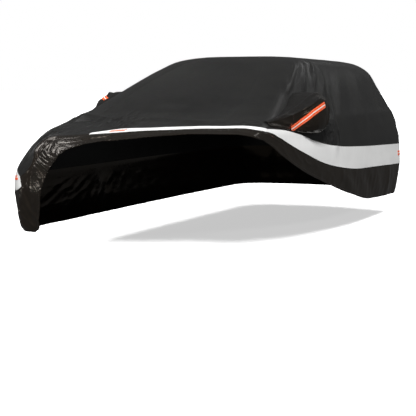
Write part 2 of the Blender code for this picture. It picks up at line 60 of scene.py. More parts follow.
# One row for each level, from the ridge of the cover's top down to the tucked hem. front and
# rear are where the middle of each end lies, wide_* the half widths where the ends begin,
# round_* the corner radii and bow_* how far an edge bulges between its corners.
LEVEL_COLUMNS = ("z", "front", "rear", "wide_front", "wide_rear",
                 "round_front", "round_rear", "bow_front", "bow_rear", "bow_side")
LEVELS = (
    (1.506, 0.35, 0.75, 0.000, 0.000, 0.00, 0.00, 0.00, 0.00, 0.000),
    (1.497, -0.06, 1.30, 0.360, 0.300, 0.20, 0.16, 0.04, 0.03, 0.010),
    (1.465, -0.26, 1.72, 0.550, 0.490, 0.24, 0.20, 0.05, 0.05, 0.030),
    (1.385, -0.48, 1.89, 0.630, 0.610, 0.22, 0.22, 0.06, 0.06, 0.030),
    (1.230, -0.86, 1.98, 0.725, 0.700, 0.22, 0.26, 0.07, 0.07, 0.040),
    (1.130, -1.06, 2.03, 0.775, 0.755, 0.24, 0.28, 0.03, 0.07, 0.040),
    (1.050, -1.17, 2.07, 0.815, 0.800, 0.26, 0.30, -0.07, 0.08, 0.040),
    (1.000, -1.36, 2.09, 0.840, 0.830, 0.27, 0.30, -0.04, 0.08, 0.040),
    (0.950, -1.62, 2.11, 0.865, 0.850, 0.28, 0.31, 0.03, 0.08, 0.035),
    (0.900, -1.86, 2.13, 0.880, 0.870, 0.28, 0.32, 0.10, 0.09, 0.030),
    (0.850, -1.98, 2.14, 0.885, 0.885, 0.28, 0.34, 0.13, 0.10, 0.030),
    (0.760, -2.10, 2.17, 0.895, 0.905, 0.28, 0.35, 0.12, 0.10, 0.030),
    (0.640, -2.17, 2.19, 0.905, 0.910, 0.28, 0.36, 0.10, 0.10, 0.030),
    (0.500, -2.19, 2.20, 0.910, 0.915, 0.28, 0.36, 0.10, 0.10, 0.030),
    (0.340, -2.18, 2.18, 0.905, 0.905, 0.28, 0.36, 0.10, 0.10, 0.030),
    (0.240, -2.165, 2.16, 0.880, 0.890, 0.28, 0.36, 0.09, 0.09, 0.030),
    (0.170, -2.13, 2.12, 0.815, 0.875, 0.28, 0.36, 0.08, 0.08, 0.020),
)
BELT = 6.0  # the level of the belt line, where the stations leave the straight columns
ROUND = 8.0  # turns once round the form
ACROSS = 5  # the turns of a place on the left side and of its mirror on the right, added
SLOPE_STEP = 0.01  # of turn and level, by which the form's slope is measured
APEX = 0.3  # nearer to the ridge than this level, the slope is that of this level
SIDE_LEVELS = 1601  # how many levels the form's heights are looked up at
SIDE_CORNER = 0.99  # how far past a front corner's start a pocket can reach, of its radius

# Round the form, a turn is 8 units: the left side 0 to 1 (rear to front), the front corners
# 1 to 2 and 3 to 4 with the front edge between, the right side 4 to 5, the rear corners 5 to 6
# and 7 to 8 with the rear edge between. A station's row says where the seam and the hem pass
# it, and which share of the way up to the shoulder and down to the hem the band covers.
STATION_COLUMNS = ("turn", "shoulder", "seam_turn", "seam_level", "hem_turn", "hem_level",
                   "up", "down")
STATIONS = (
    (0.00, 6.00, 0.000, 12.34, 0.000, 15.60, 0.112, 0.218),
    (0.25, 6.00, 0.250, 12.08, 0.234, 15.10, 0.110, 0.250),
    (0.42, 6.00, 0.420, 11.91, 0.410, 14.03, 0.120, 0.340),
    (0.57, 6.00, 0.570, 11.48, 0.560, 13.25, 0.117, 0.362),
    (0.68, 6.00, 0.680, 10.86, 0.681, 12.48, 0.117, 0.352),
    (0.78, 6.00, 0.780, 9.96, 0.794, 11.53, 0.164, 0.414),
    (0.83, 6.00, 0.830, 9.50, 0.850, 10.98, 0.183, 0.426),
    (0.88, 6.00, 0.880, 9.01, 0.898, 10.44, 0.163, 0.343),
    (0.94, 6.00, 0.940, 8.50, 0.945, 9.93, 0.098, 0.190),
    (1.00, 6.00, 1.000, 8.24, 0.990, 9.36, 0.074, 0.140),
    (1.10, 6.00, 1.100, 8.11, 1.105, 9.12, 0.072, 0.155),
    (1.25, 6.00, 1.250, 7.97, 1.274, 8.86, 0.080, 0.180),
    (1.60, 6.00, 1.600, 7.72, 1.600, 8.57, 0.082, 0.160),
    (2.05, 6.00, 2.050, 7.79, 2.060, 8.56, 0.078, 0.180),
    (2.25, 6.00, 2.250, 7.95, 2.240, 8.76, 0.082, 0.190),
    (2.45, 6.00, 2.450, 8.17, 2.430, 9.31, 0.075, 0.140),
    (2.60, 6.00, 2.600, 8.40, 2.580, 9.68, 0.100, 0.180),
    (2.70, 6.00, 2.695, 8.68, 2.660, 9.98, 0.055, 0.110),
    (2.76, 6.00, 2.750, 8.84, 2.700, 10.15, 0.040, 0.080),
    (2.92, 6.20, 2.910, 9.16, 2.780, 10.50, 0.070, 0.200),
    (3.10, 6.80, 3.050, 9.36, 2.812, 10.72, 0.090, 0.250),
    (3.30, 7.80, 3.170, 9.60, 2.828, 10.95, 0.100, 0.250),
    (3.50, 8.90, 3.240, 10.05, 2.838, 11.25, 0.110, 0.250),
    (3.70, 9.90, 3.200, 10.70, 2.850, 11.60, 0.120, 0.250),
    (3.87, 10.5, 3.105, 11.15, 2.868, 12.05, 0.130, 0.250),
    (3.98, 10.9, 3.060, 11.60, 2.884, 12.55, 0.180, 0.250),
    (4.06, 11.1, 3.110, 11.98, 2.908, 13.30, 0.260, 0.250),
    (4.11, 11.1, 3.270, 12.26, 2.937, 14.10, 0.290, 0.265),
    (4.16, 10.9, 3.500, 12.36, 2.960, 14.95, 0.300, 0.240),
    (4.22, 10.6, 3.850, 12.36, 3.060, 15.38, 0.300, 0.222),
    (4.30, 10.1, 4.080, 12.35, 3.450, 15.52, 0.300, 0.219),
    (4.40, 9.70, 4.270, 12.35, 4.070, 15.64, 0.268, 0.218),
    (4.55, 8.40, 4.500, 12.34, 4.450, 15.62, 0.178, 0.218),
    (4.75, 6.90, 4.740, 12.34, 4.730, 15.60, 0.129, 0.218),
    (5.00, 6.00, 5.000, 12.34, 5.000, 15.60, 0.112, 0.218),
    (8.00, 6.00, 8.000, 12.34, 8.000, 15.60, 0.112, 0.218),
)
BANDS = (  # side, first turn, last turn, area of one face
    ("left", -0.45, 2.76, 0.66),
    ("right", 4.11, 5.45, 0.76),
)
TABS = (("front_left", 2.60), ("rear_left", -0.07), ("front_right", 4.155), ("rear_right", 5.07))
TAB_LENGTH = 0.11
TAB_STEPS = 61
TAB_ACROSS = 9
TAB_SEARCH = 0.6  # turns to each side of a tab, in which its ends are looked for
TAB_SAMPLES = 1201

# Flat sizes of the sheets and areas of one face, as measured along the cloth of the built form.
BODY_FLAT = (3.6, 5.6)
BODY_AREA = 11.3
SKIRT_FLAT = (0.62, 11.6)
SKIRT_AREA = 3.9
BAND_FLAT = (0.2, 4.6)
POCKET_FLAT = (0.62, 0.95)
POCKET_AREA = 0.33

# Soft folds: a ridge (or a trough, where its height is negative) between two points, given by
# turn and level, with its half width and height. These are in the frame's solids too.
FOLDS = (
    (1.10, 2.30, 0.945, 4.30, 0.040, 0.008),
    (0.98, 2.40, 0.885, 4.10, 0.035, 0.009),
    (0.90, 2.45, 0.845, 4.00, 0.035, -0.007),
    (0.84, 2.50, 0.800, 4.20, 0.040, 0.008),
    (0.72, 2.70, 0.680, 9.50, 0.055, 0.008),
    (0.62, 2.90, 0.600, 8.50, 0.060, -0.006),
    (0.52, 2.80, 0.530, 10.50, 0.060, 0.008),
    (0.40, 3.00, 0.430, 9.50, 0.080, -0.006),
    (0.27, 2.90, 0.300, 10.50, 0.080, 0.007),
    (0.12, 3.20, 0.130, 10.00, 0.080, -0.006),
    (0.560, 8.60, 0.530, 11.30, 0.045, 0.010),
    (0.10, 12.90, 0.080, 15.40, 0.070, 0.012),
    (0.33, 12.80, 0.20, 15.00, 0.070, -0.009),
    (0.50, 12.60, 0.36, 14.20, 0.055, 0.009),
    (3.60, 7.20, 2.90, 7.40, 0.070, 0.016),
    (2.90, 8.10, 2.55, 7.80, 0.050, 0.012),
    (2.40, 7.30, 1.90, 7.10, 0.050, 0.009),
    (3.75, 9.40, 3.45, 12.00, 0.060, -0.010),
    (3.20, 12.9, 3.35, 15.20, 0.050, 0.012),
    (3.45, 13.2, 3.70, 15.40, 0.060, -0.010),
    (4.10, 3.40, 4.22, 8.50, 0.070, 0.008),
    (4.35, 3.00, 4.40, 9.80, 0.080, -0.007),
    (4.55, 3.00, 4.56, 10.6, 0.080, 0.008),
    (4.75, 3.10, 4.72, 10.2, 0.080, -0.006),
    (4.92, 3.10, 4.90, 10.5, 0.080, 0.007),
    (4.30, 13.0, 4.34, 15.4, 0.080, 0.010),
    (4.70, 13.0, 4.66, 15.3, 0.080, -0.009),
    (5.50, 3.30, 5.52, 11.0, 0.080, 0.008),
    (6.30, 2.60, 6.20, 10.5, 0.090, -0.007),
    (6.70, 2.60, 6.80, 11.0, 0.090, 0.008),
    (7.50, 3.30, 7.48, 11.0, 0.080, 0.008),
    (6.50, 12.9, 6.45, 15.4, 0.090, 0.010),
)
FOLD_END = 0.02  # share of a fold's length that is left off its ends
FOLD_FADE = 0.6  # how slowly a fold dies out towards its ends: 0 would end it at full height

# Gentle waves of every sheet: their height, how many there are to a metre along each axis, and
# their seed.
WAVES = (
    (0.0022, (3.1, 2.2, 3.4), 11),
    (0.0010, (8.0, 8.0, 8.0), 12),
)

# No fold runs near a pocket: it fades out over CALM_FADE, in spreads from the pocket's middle.
CALM_MIDDLE = np.array((0.88, -0.78, 1.03))
CALM_SPREAD = np.array((0.30, 0.65, 0.24))
CALM_START = 0.95
CALM_FADE = 0.35

# Finer creases of the upper cloth, which only the looks have, in the same terms as the folds.
CREASES = (
    (1.400, 3.45, 0.940, 4.70, 0.018, 0.0136),
    (1.290, 2.35, 0.955, 4.55, 0.022, 0.0136),
    (0.995, 2.05, 0.873, 4.45, 0.019, 0.0170),
    (0.945, 2.20, 0.845, 4.30, 0.019, -0.0102),
    (0.883, 2.05, 0.802, 3.90, 0.019, 0.0153),
    (0.800, 2.50, 0.633, 4.95, 0.030, 0.0119),
    (1.120, 2.15, 0.930, 3.60, 0.019, 0.0102),
    (0.720, 2.60, 0.600, 8.00, 0.035, -0.0102),
    (0.645, 4.70, 0.552, 10.9, 0.032, 0.0170),
    (0.580, 7.60, 0.500, 10.8, 0.019, 0.0136),
    (0.620, 9.00, 0.545, 11.3, 0.016, -0.0119),
    (3.550, 7.40, 2.800, 6.78, 0.030, 0.0187),
    (2.800, 6.78, 2.070, 7.38, 0.030, 0.0187),
    (3.300, 7.60, 2.650, 7.25, 0.027, -0.0119),
    (2.900, 8.05, 2.560, 7.50, 0.019, 0.0153),
    (2.840, 7.10, 2.600, 8.00, 0.016, 0.0136),
    (3.230, 8.10, 3.290, 10.3, 0.030, 0.0187),
    (3.290, 9.70, 3.150, 12.7, 0.027, 0.0187),
    (3.550, 8.00, 3.400, 11.0, 0.035, -0.0153),
)
CREASE_STEPS = 16  # straight pieces of each crease
CREASE_CALM = (0.012, 0.045)  # from a pocket's rim, where creases begin and where they are full
EDGE_CALM = 0.03  # from the band or the seam, where the upper cloth's creases are full
WANDER = 0.012  # how far creases wander from their lines, and how often to a metre
WANDER_RATE = 7

# Crumpled places in the upper cloth: their middle by turn and level, their reach round and
# down the cover, and the height and spacing of their ridges.
CRUMPLES = (
    (2.74, 7.45, 0.18, 0.24, 0.0220, 0.075),
    (0.590, 9.70, 0.11, 0.18, 0.0220, 0.065),
    (1.35, 7.10, 0.20, 0.06, 0.0080, 0.060),
    (3.25, 9.00, 0.22, 0.14, 0.0110, 0.075),
)

# Crumpled cloth and film, in units of the spacing of their ridges: how often and how far these
# bend, how sharp they are, the rate and the share of the finer ones, and their mean height.
BEND_RATE = 0.8
BEND = 0.45
RIDGE_POWER = 3
FINE_RATE = 2.3
FINE_SHARE = 0.3
RIDGE_MEAN = 0.35

# Seeds of the random values, and how far apart values are read that should differ.
UPPER_SEED = 21
FILM_SEED = 41
FILM_FINE_SEED = 52
POCKET_SEED = 63
FINE_SEED = 5  # added to the seed, for the finer ridges
BEND_SHIFT = 9.1
FINE_SHIFT = 4.7
WANDER_SHIFT = 31
HASH_PRIMES = (73856093, 19349663, 83492791)  # one for each axis
HASH_SEED = 40503
HASH_MIX = 0x45D9F3B
HASH_MASK = 0xFFFFFFFF

# How the film creases, by station: the spacing of its creases round and down the skirt, and
# their height.
FILM_COLUMNS = ("turn", "round", "down", "height")
FILM = (
    (0.00, 0.090, 0.260, 0.0060),
    (0.45, 0.100, 0.180, 0.0050),
    (0.90, 0.260, 0.050, 0.0040),
    (1.60, 0.260, 0.036, 0.0030),
    (2.05, 0.400, 0.040, 0.0045),
    (2.35, 0.400, 0.042, 0.0060),
    (2.70, 0.420, 0.048, 0.0085),
    (3.00, 0.340, 0.050, 0.0095),
    (3.30, 0.160, 0.075, 0.0100),
    (3.60, 0.070, 0.160, 0.0100),
    (3.90, 0.045, 0.300, 0.0100),
    (4.30, 0.045, 0.360, 0.0080),
    (4.80, 0.110, 0.160, 0.0035),
    (8.00, 0.110, 0.160, 0.0035),
)
FILM_FINE_SHARE = 0.08  # of that height, for the finer creases over them
FILM_FINE_SPACING = 0.035
FILM_START = 0.022  # from the band, where the film's creases are full
PUCKER_HEIGHT = 0.0010  # the small gathers of the hem
PUCKER_PITCH = 0.034
PUCKER_REACH = 0.018  # up from the hem

# A mirror pocket: sections from its front point back to its rear end, each at its place along
# the cover, y. low and high bound the section on the cover's side, and reach is how far out
# it goes from the cover's middle.
POCKET_COLUMNS = ("y", "low", "high", "reach")
POCKET = (
    (-1.270, 0.962, 0.995, 0.842),
    (-1.120, 0.945, 1.018, 0.866),
    (-0.960, 0.925, 1.050, 0.888),
    (-0.830, 0.908, 1.090, 0.920),
    (-0.735, 0.895, 1.135, 0.968),
    (-0.640, 0.887, 1.175, 1.000),
    (-0.550, 0.884, 1.195, 1.010),
    (-0.450, 0.890, 1.190, 1.000),
    (-0.380, 0.910, 1.160, 0.950),
    (-0.325, 0.950, 1.110, 0.885),
)
POCKET_SQUARENESS = 0.70  # 1 is an ellipse and less is squarer
POCKET_LEAN = (-0.08, 0.06)  # forwards and up, for each metre that a pocket stands out
POCKET_SHALLOW = 0.006  # the least that a section stands off the side
POCKET_STITCHES = 0.03  # share of the way over a pocket, from each rim to its stitches
POCKET_GIRTH = 0.45  # from a pocket's lower rim over its face to its upper rim, where it is widest
OPENING_SHARE = 0.80  # of a pocket's height, cut away in the cloth under it
OPENING_FRONT = 0.34  # from a pocket's front point to the opening
OPENING_REAR = 0.05
SIDE_REACH = 0.63  # the opening is cut only in cloth that lies further out than this
POCKET_STEPS = 100
POCKET_ACROSS = 72
POCKET_ROUND = 0.004  # of place and share, by which a pocket's normal is measured

# Creases of a pocket's film: a ridge between two points, given by place along the cover and by
# share of the way from the lower rim to the upper one, with its half width and height.
POCKET_FOLDS = (
    (-1.20, 0.80, -0.96, 0.80, 0.012, 0.0084),
    (-0.98, 0.80, -0.72, 0.82, 0.012, 0.0112),
    (-0.74, 0.82, -0.44, 0.78, 0.013, 0.0140),
    (-1.00, 0.64, -0.76, 0.67, 0.011, 0.0084),
    (-0.78, 0.67, -0.56, 0.70, 0.011, 0.0098),
    (-0.82, 0.59, -0.58, 0.63, 0.012, -0.0084),
    (-1.10, 0.52, -0.84, 0.34, 0.012, 0.0084),
    (-1.02, 0.46, -0.80, 0.24, 0.012, 0.0084),
    (-1.12, 0.34, -0.90, 0.12, 0.012, 0.0070),
    (-0.50, 0.30, -0.42, 0.62, 0.012, 0.0084),
)
POCKET_CRUMPLE = 0.0060  # height of the film's other creases
POCKET_SPACING = 0.09  # from one of them to the next along the cover
POCKET_RATE = 7.0  # how many of them there are over a pocket, from rim to rim
POCKET_RIM = 0.10  # share of the way over a pocket, from each rim, where creases are full
COATED_FROM = (0.285, 0.305)  # from the lower rim, where a pocket's matte coating begins
WEBBING_CALM = (0.026, 0.048)  # from the webbing's middle, where creases begin and are full

# The webbing across each pocket: its middle line, by place along the cover and by share of the
# way from the pocket's lower rim to its upper one.
STRIP_COLUMNS = ("y", "share")
STRIPS = {
    "left": ((-0.945, 0.18), (-0.905, 0.32), (-0.850, 0.43), (-0.790, 0.49), (-0.714, 0.525),
             (-0.641, 0.548), (-0.550, 0.57)),
    "right": ((-0.410, 0.38), (-0.450, 0.50), (-0.500, 0.60), (-0.580, 0.69), (-0.660, 0.78),
              (-0.730, 0.88)),
}
STRIP_LENGTH = 0.48
WEBBING_WIDTH = 0.046
STRIP_STEPS = 60
STRIP_ACROSS = 9
STRIP_ROUND = 0.002  # of place and share, by which a pocket's slope under webbing is measured
STRIP_WALK = 6  # steps of the way across the webbing, from one column of its grid to the next

# Grids: how many columns each stretch of the turn has. The right side mirrors the left, so
# both meet the ridge at the same points.
BODY_COLUMNS = ((0, 0.45, 50), (0.45, 0.98, 160), (0.98, 2, 60), (2, 3, 150), (3, 4.02, 60),
                (4.02, 4.55, 160), (4.55, 5, 50), (5, 6, 20), (6, 7, 44), (7, 8, 20))
TOP_ROWS = 28  # from the ridge to the shoulder
SIDE_ROWS = 30  # from the shoulder to the band
UNDER_BAND_ROWS = 4
SKIRT_COLUMNS = ((0, 0.45, 70), (0.45, 1, 120), (1, 2, 60), (2, 3, 200), (3, 3.9, 130),
                 (3.9, 4.5, 160), (4.5, 5, 50), (5, 6, 26), (6, 7, 56), (7, 8, 26))
SKIRT_ROWS = 46  # from the band to the hem
SKIRT_BAND_ROWS = 3  # from the seam to the band's lower edge
SKIRT_START = 0.002  # below the seam, where the skirt has come out from under the upper cloth
HEM_STEP = 0.004  # the way over which the turned hem thickens
HEM_OUT = 0.0006  # how much further out the hem lies
HEM_IN = 0.8  # how much further in, as a share of the cloth's thickness
BAND_STEP = 0.010  # turns between a band's columns
SEAM_RUNS = ((2.78, 4.09), (5.47, 7.53))  # where no band covers the seam, and its stitches show
BAND_ROWS = 12


def length(name, description, default, low, high):
    """A property for a length in metres."""
    return bpy.props.FloatProperty(name=name, description=description, default=default, min=low,
                                   max=high, unit="LENGTH")


class CoverSizes(bpy.types.PropertyGroup):
    """Sizes of the cloth and its trim that a user would change."""

    cloth: length("Cloth thickness", "Thickness of the cloth and the film", 0.0014, 0.001, 0.0025)
    band: length("Band thickness", "Thickness of the reflective band", 0.0010, 0.0006, 0.002)
    webbing: length("Webbing thickness", "Thickness of the orange webbing", 0.0014, 0.001, 0.002)
    webbing_width: length("Webbing width", "Width of the orange webbing",
                          WEBBING_WIDTH, 0.02, 0.06)
    seat: length("Play", "Play between one sheet and the next that lies on it",
                 0.0005, 0.0003, 0.001)
    lap: length("Seam lap", "How far the skirt reaches under the upper cloth",
                0.012, 0.005, 0.02)
    hem: length("Hem width", "Width of the turned hem, which is twice as thick",
                0.022, 0.01, 0.04)
    stitch: length("Stitch length", "Length of one stitch", 0.005, 0.003, 0.008)
    stitch_pitch: length("Stitch pitch", "From one stitch to the next", 0.0085, 0.004, 0.02)
    thread: length("Thread thickness", "Thickness of the sewing thread", 0.0014, 0.0006, 0.002)
    stitch_edge: length("Stitch margin", "From a sewn edge to its row of stitches",
                        0.006, 0.003, 0.01)


def linear(hex_colour):
    """An sRGB hex colour as linear red, green, blue and alpha."""
    values = [int(hex_colour[i:i + 2], 16) / 255 for i in (1, 3, 5)]
    return (*[v / 12.92 if v <= 0.04045 else ((v + 0.055) / 1.055) ** 2.4 for v in values], 1.0)


def colour(name, description, hex_colour):
    """A colour property whose default is this sRGB hex value."""
    return bpy.props.FloatVectorProperty(name=name, description=description, subtype="COLOR",
                                         size=4, min=0, max=1, default=linear(hex_colour))


class CoverColours(bpy.types.PropertyGroup):
    """Colours of the cover that a user would change."""

    cloth: colour("Cloth", "The matte upper cloth", "#1d1d1d")
    cloth_worn: colour("Cloth, rubbed", "The cloth where it is rubbed or dusty", "#232322")
    film: colour("Film", "The glossy film of the skirt and the pockets", "#141210")
    film_light: colour("Film, stretched", "The film where creases have stretched it", "#211d19")
    band: colour("Band", "The reflective band", "#f3f3f2")
    webbing: colour("Webbing", "The orange webbing", "#f05a24")
    stripe: colour("Stripe", "The silver stripe of the webbing", "#e9e4de")
    thread: colour("Thread", "The sewing thread of the cloth and the film", "#1d1d1d")
    band_thread: colour("Band thread", "The sewing thread of the bands and the webbing", "#b9b9b8")


# --- Lines and points of the cover -----------------------------------------------------------

def column(table, names, name):
    """One named column of a table."""
    return np.array([row[names.index(name)] for row in table])


def look_up(table, names, x):
    """Every column of a table but its first, by name, where its first one is x."""
    first = column(table, names, names[0])
    return {name: smooth(first, column(table, names, name), x) for name in names[1:]}


def smooth(xs, ys, x):
    """A curve through the points that never overshoots them (monotone cubic)."""
    steps = np.diff(xs)
    rises = np.diff(ys) / steps
    slopes = np.concatenate(([rises[0]], np.zeros(len(xs) - 2), [rises[-1]]))
    for i in range(1, len(xs) - 1):
        before, after = rises[i - 1], rises[i]
        if before * after > 0:
            w_before = 2 * steps[i] + steps[i - 1]
            w_after = steps[i] + 2 * steps[i - 1]
            slopes[i] = (w_before + w_after) / (w_before / before + w_after / after)
    x = np.clip(x, xs[0], xs[-1])
    i = np.clip(np.searchsorted(xs, x, side="right") - 1, 0, len(xs) - 2)
    u = (x - xs[i]) / steps[i]
    return ((1 + 2 * u) * (1 - u) ** 2 * ys[i] + u * (1 - u) ** 2 * steps[i] * slopes[i]
            + u * u * (3 - 2 * u) * ys[i + 1] - u * u * (1 - u) * steps[i] * slopes[i + 1])


def level_sizes(level):
    """Every size of the form at these levels, by name."""
    rows = np.arange(len(LEVELS), dtype=float)
    return {name: smooth(rows, column(LEVELS, LEVEL_COLUMNS, name), level)
            for name in LEVEL_COLUMNS}


def corner(at, sign, reach, end, radius, outwards):
    """Points of a corner arc: at is the share of the quarter turn away from the side."""
    angle = at * math.pi / 2
    x = sign * (reach - radius + radius * np.cos(angle))
    return x, end - outwards * radius + outwards * radius * np.sin(angle)


def form(turn, level):
    """The smooth form at these turns and levels, in metres above the ground."""
    turn, level = np.broadcast_arrays(np.mod(turn, ROUND), np.asarray(level, dtype=float))
    size = level_sizes(level)
    stretch = np.floor(turn).astype(int)
    u = turn - stretch
    front = size["front"] + size["bow_front"]
    rear = size["rear"] - size["bow_rear"]
    wide_front, wide_rear = size["wide_front"], size["wide_rear"]
    r_front, r_rear = size["round_front"], size["round_rear"]
    x, y = np.zeros(turn.shape), np.zeros(turn.shape)
    for number, sign in ((0, 1), (4, -1)):
        along = u if number == 0 else 1 - u
        bulge = size["bow_side"] * (1 - (2 * along - 1) ** 2)
        here = stretch == number
        side_x = sign * (wide_rear + (wide_front - wide_rear) * along + bulge)
        side_y = rear - r_rear + (front + r_front - rear + r_rear) * along
        x[here], y[here] = side_x[here], side_y[here]
    for number, sign, at, is_front in ((1, 1, u, True), (3, -1, 1 - u, True),
                                       (5, -1, u, False), (7, 1, 1 - u, False)):
        reach, end, radius = (wide_front, front, r_front) if is_front else (wide_rear, rear, r_rear)
        arc_x, arc_y = corner(at, sign, reach, end, radius, -1 if is_front else 1)
        here = stretch == number
        x[here], y[here] = arc_x[here], arc_y[here]
    for number, half, end, bulge in ((2, wide_front - r_front, front, -size["bow_front"]),
                                     (6, r_rear - wide_rear, rear, size["bow_rear"])):
        here = stretch == number
        edge_x = half * (1 - 2 * u)
        edge_y = end + bulge * (1 - (2 * u - 1) ** 2)
        x[here], y[here] = edge_x[here], edge_y[here]
    return np.stack((x, y, size["z"]), axis=-1)


def unit(vectors):
    """The vectors, each scaled to a length of 1."""
    return vectors / np.maximum(np.linalg.norm(vectors, axis=-1, keepdims=True), 1e-12)


def outward(turn, level):
    """Unit normals of the form, pointing out of the cover."""
    low = np.maximum(level, APEX)
    around = form(turn + SLOPE_STEP, low) - form(turn - SLOPE_STEP, low)
    down = form(turn, low + SLOPE_STEP) - form(turn, low - SLOPE_STEP)
    return unit(np.cross(around, down))


def station(turn):
    """Where the lines of the cover pass the stations that start at these turns."""
    base = np.mod(turn, ROUND)
    line = look_up(STATIONS, STATION_COLUMNS, base)
    for name in ("seam_turn", "hem_turn"):
        line[name] = line[name] + (turn - base)
    return line


def part_way(start, end, share):
    """Turn and level of points that lie this share of the way between two lines."""
    return tuple(a + (b - a) * share for a, b in zip(start, end))


def beside(line, towards, distance):
    """A line moved by this distance towards another one."""
    apart = np.linalg.norm(form(*towards) - form(*line), axis=-1)
    return part_way(line, towards, distance / apart)


def lines(turns):
    """The shoulder, both edges of the band, the seam and the hem, each as turns and levels."""
    at = station(turns)
    shoulder = (turns, at["shoulder"])
    seam = (at["seam_turn"], at["seam_level"])
    hem = (at["hem_turn"], at["hem_level"])
    top = part_way(seam, shoulder, at["up"])
    low = part_way(seam, hem, at["down"])
    return shoulder, top, seam, low, hem


def stack(rows):
    """Lines as two grids, of turns and of levels."""
    return np.array([row[0] for row in rows]), np.array([row[1] for row in rows])


def grid_turns(stretches):
    """The turns of a grid's columns, once round."""
    return np.concatenate([np.linspace(a, b, n, endpoint=False) for a, b, n in stretches])


def even_turns(first, last):
    """Turns a band's step apart."""
    return np.linspace(first, last, round((last - first) / BAND_STEP) + 1)


# --- Folds, creases and crumples -------------------------------------------------------------

def ease(low, high, x):
    """0 below low and 1 above high, with a soft way between."""
    u = np.clip((x - low) / (high - low), 0, 1)
    return u * u * (3 - 2 * u)


def lattice(cell, seed):
    """A repeatable random number from -1 to 1 for each whole-number cell."""
    mixed = np.bitwise_xor.reduce(cell * np.array(HASH_PRIMES), axis=-1)
    mixed = (mixed ^ seed * HASH_SEED) & HASH_MASK
    for _ in range(2):
        mixed = ((mixed ^ mixed >> 16) * HASH_MIX) & HASH_MASK
    return (mixed ^ mixed >> 16) / (HASH_MASK >> 1) - 1


def noise(points, seed):
    """Smooth random values from -1 to 1, which change over about one unit."""
    cell = np.floor(points).astype(np.int64)
    part = points - cell
    part = part * part * (3 - 2 * part)
    total = 0
    for offset in itertools.product((0, 1), repeat=3):
        weight = np.prod(np.where(offset, part, 1 - part), axis=-1)
        total = total + weight * lattice(cell + np.array(offset), seed)
    return total


def creased(points, seed):
    """Narrow ridges between flatter facets, one every unit or so, about one unit high in all."""
    bend = np.stack([noise(points * BEND_RATE + BEND_SHIFT * k, seed + k) for k in (1, 2, 3)],
                    axis=-1)
    bent = points + BEND * bend
    broad = (1 - np.abs(noise(bent, seed))) ** RIDGE_POWER
    fine = (1 - np.abs(noise(bent * FINE_RATE + FINE_SHIFT, seed + FINE_SEED))) ** RIDGE_POWER
    return (1 - FINE_SHARE) * broad + FINE_SHARE * fine - RIDGE_MEAN


def near_segment(points, start, end):
    """Where each point is nearest to a straight line, as a share of it, and how far away."""
    run = end - start
    along = np.clip((points - start) @ run / (run @ run), 0, 1)
    return along, np.linalg.norm(points - start - along[..., None] * run, axis=-1)


def ridge(along, away, half_width, height):
    """The height of a fold at this share of its length and this far from its middle line."""
    fade = np.sin(math.pi * np.clip(along, FOLD_END, 1 - FOLD_END)) ** FOLD_FADE
    return height * fade * np.exp(-((away / half_width) ** 2))


def ridges(points, table):
    """How far a table of folds lifts the cloth at these points of the form."""
    lift = np.zeros(points.shape[:-1])
    for turn_a, level_a, turn_b, level_b, half_width, height in table:
        along, away = near_segment(points, form(turn_a, level_a), form(turn_b, level_b))
        lift += ridge(along, away, half_width, height)
    return lift


def fine_ridges(points, surface, table):
    """As ridges, but along the surface's own curve, so that a narrow crease stays on it."""
    lift = np.zeros(points.shape[:-1])
    share = np.linspace(0, 1, CREASE_STEPS + 1)
    for first_a, second_a, first_b, second_b, half_width, height in table:
        path = surface(first_a + (first_b - first_a) * share,
                       second_a + (second_b - second_a) * share)
        nearest = np.full(points.shape[:-1], np.inf)
        at = np.zeros(points.shape[:-1])
        for i, (start, end) in enumerate(zip(path[:-1], path[1:])):
            along, away = near_segment(points, start, end)
            at = np.where(away < nearest, (i + along) / CREASE_STEPS, at)
            nearest = np.minimum(away, nearest)
        lift += ridge(at, nearest, half_width, height)
    return lift


def pocket_calm(points):
    """0 where a pocket is sewn on, so that no fold runs under its rim, and 1 away from it."""
    mirrored = np.abs(points * (1, 0, 0)) + points * (0, 1, 1)
    away = np.linalg.norm((mirrored - CALM_MIDDLE) / CALM_SPREAD, axis=-1)
    return np.clip((away - CALM_START) / CALM_FADE, 0, 1)


def crease_calm(points):
    """0 under a pocket and at its rim, and 1 away from it."""
    x, y, z = np.moveaxis(points, -1, 0)
    low, high, _ = pocket_limits(y)
    outside = np.maximum.reduce((low - z, z - high, POCKET[0][0] - y, y - POCKET[-1][0]))
    return ease(*CREASE_CALM, np.where(np.abs(x) > SIDE_REACH, outside, CREASE_CALM[1]))


def wander(points):
    """Points shifted a little, so that creases drawn through them run less straight."""
    aside = [noise(points * WANDER_RATE + WANDER_SHIFT * k, k) for k in (1, 2, 3)]
    return points + WANDER * np.stack(aside, axis=-1)


def shared_lift(points):
    """The folds that every sheet of the cover follows."""
    gentle = sum(height * noise(points * rate, seed) for height, rate, seed in WAVES)
    return (ridges(points, FOLDS) + gentle) * pocket_calm(points)


def upper_lift(points):
    """Creases and crumples of the upper cloth, besides the shared folds."""
    lift = fine_ridges(wander(points), form, CREASES)
    for turn, level, reach_round, reach_down, height, spacing in CRUMPLES:
        middle = form(turn, level)
        across = unit(form(turn + SLOPE_STEP, level) - form(turn - SLOPE_STEP, level))
        away = points - middle
        along = away @ across
        other = np.linalg.norm(away - along[..., None] * across, axis=-1)
        near = np.exp(-((along / reach_round) ** 2) - (other / reach_down) ** 2)
        lift += height * near * creased(points / spacing, UPPER_SEED)
    return lift * crease_calm(points)


def cover_points(turn, level, lift):
    """Points of the cover's outer face, raised by lift, in the frame's own coordinates."""
    points = form(turn, level)
    return points + outward(turn, level) * (shared_lift(points) + lift)[..., None] - ORIGIN


def on_cover(line, lift):
    """Points of a line on the cover, raised by lift, and the normals there."""
    return cover_points(*line, lift), outward(*line)


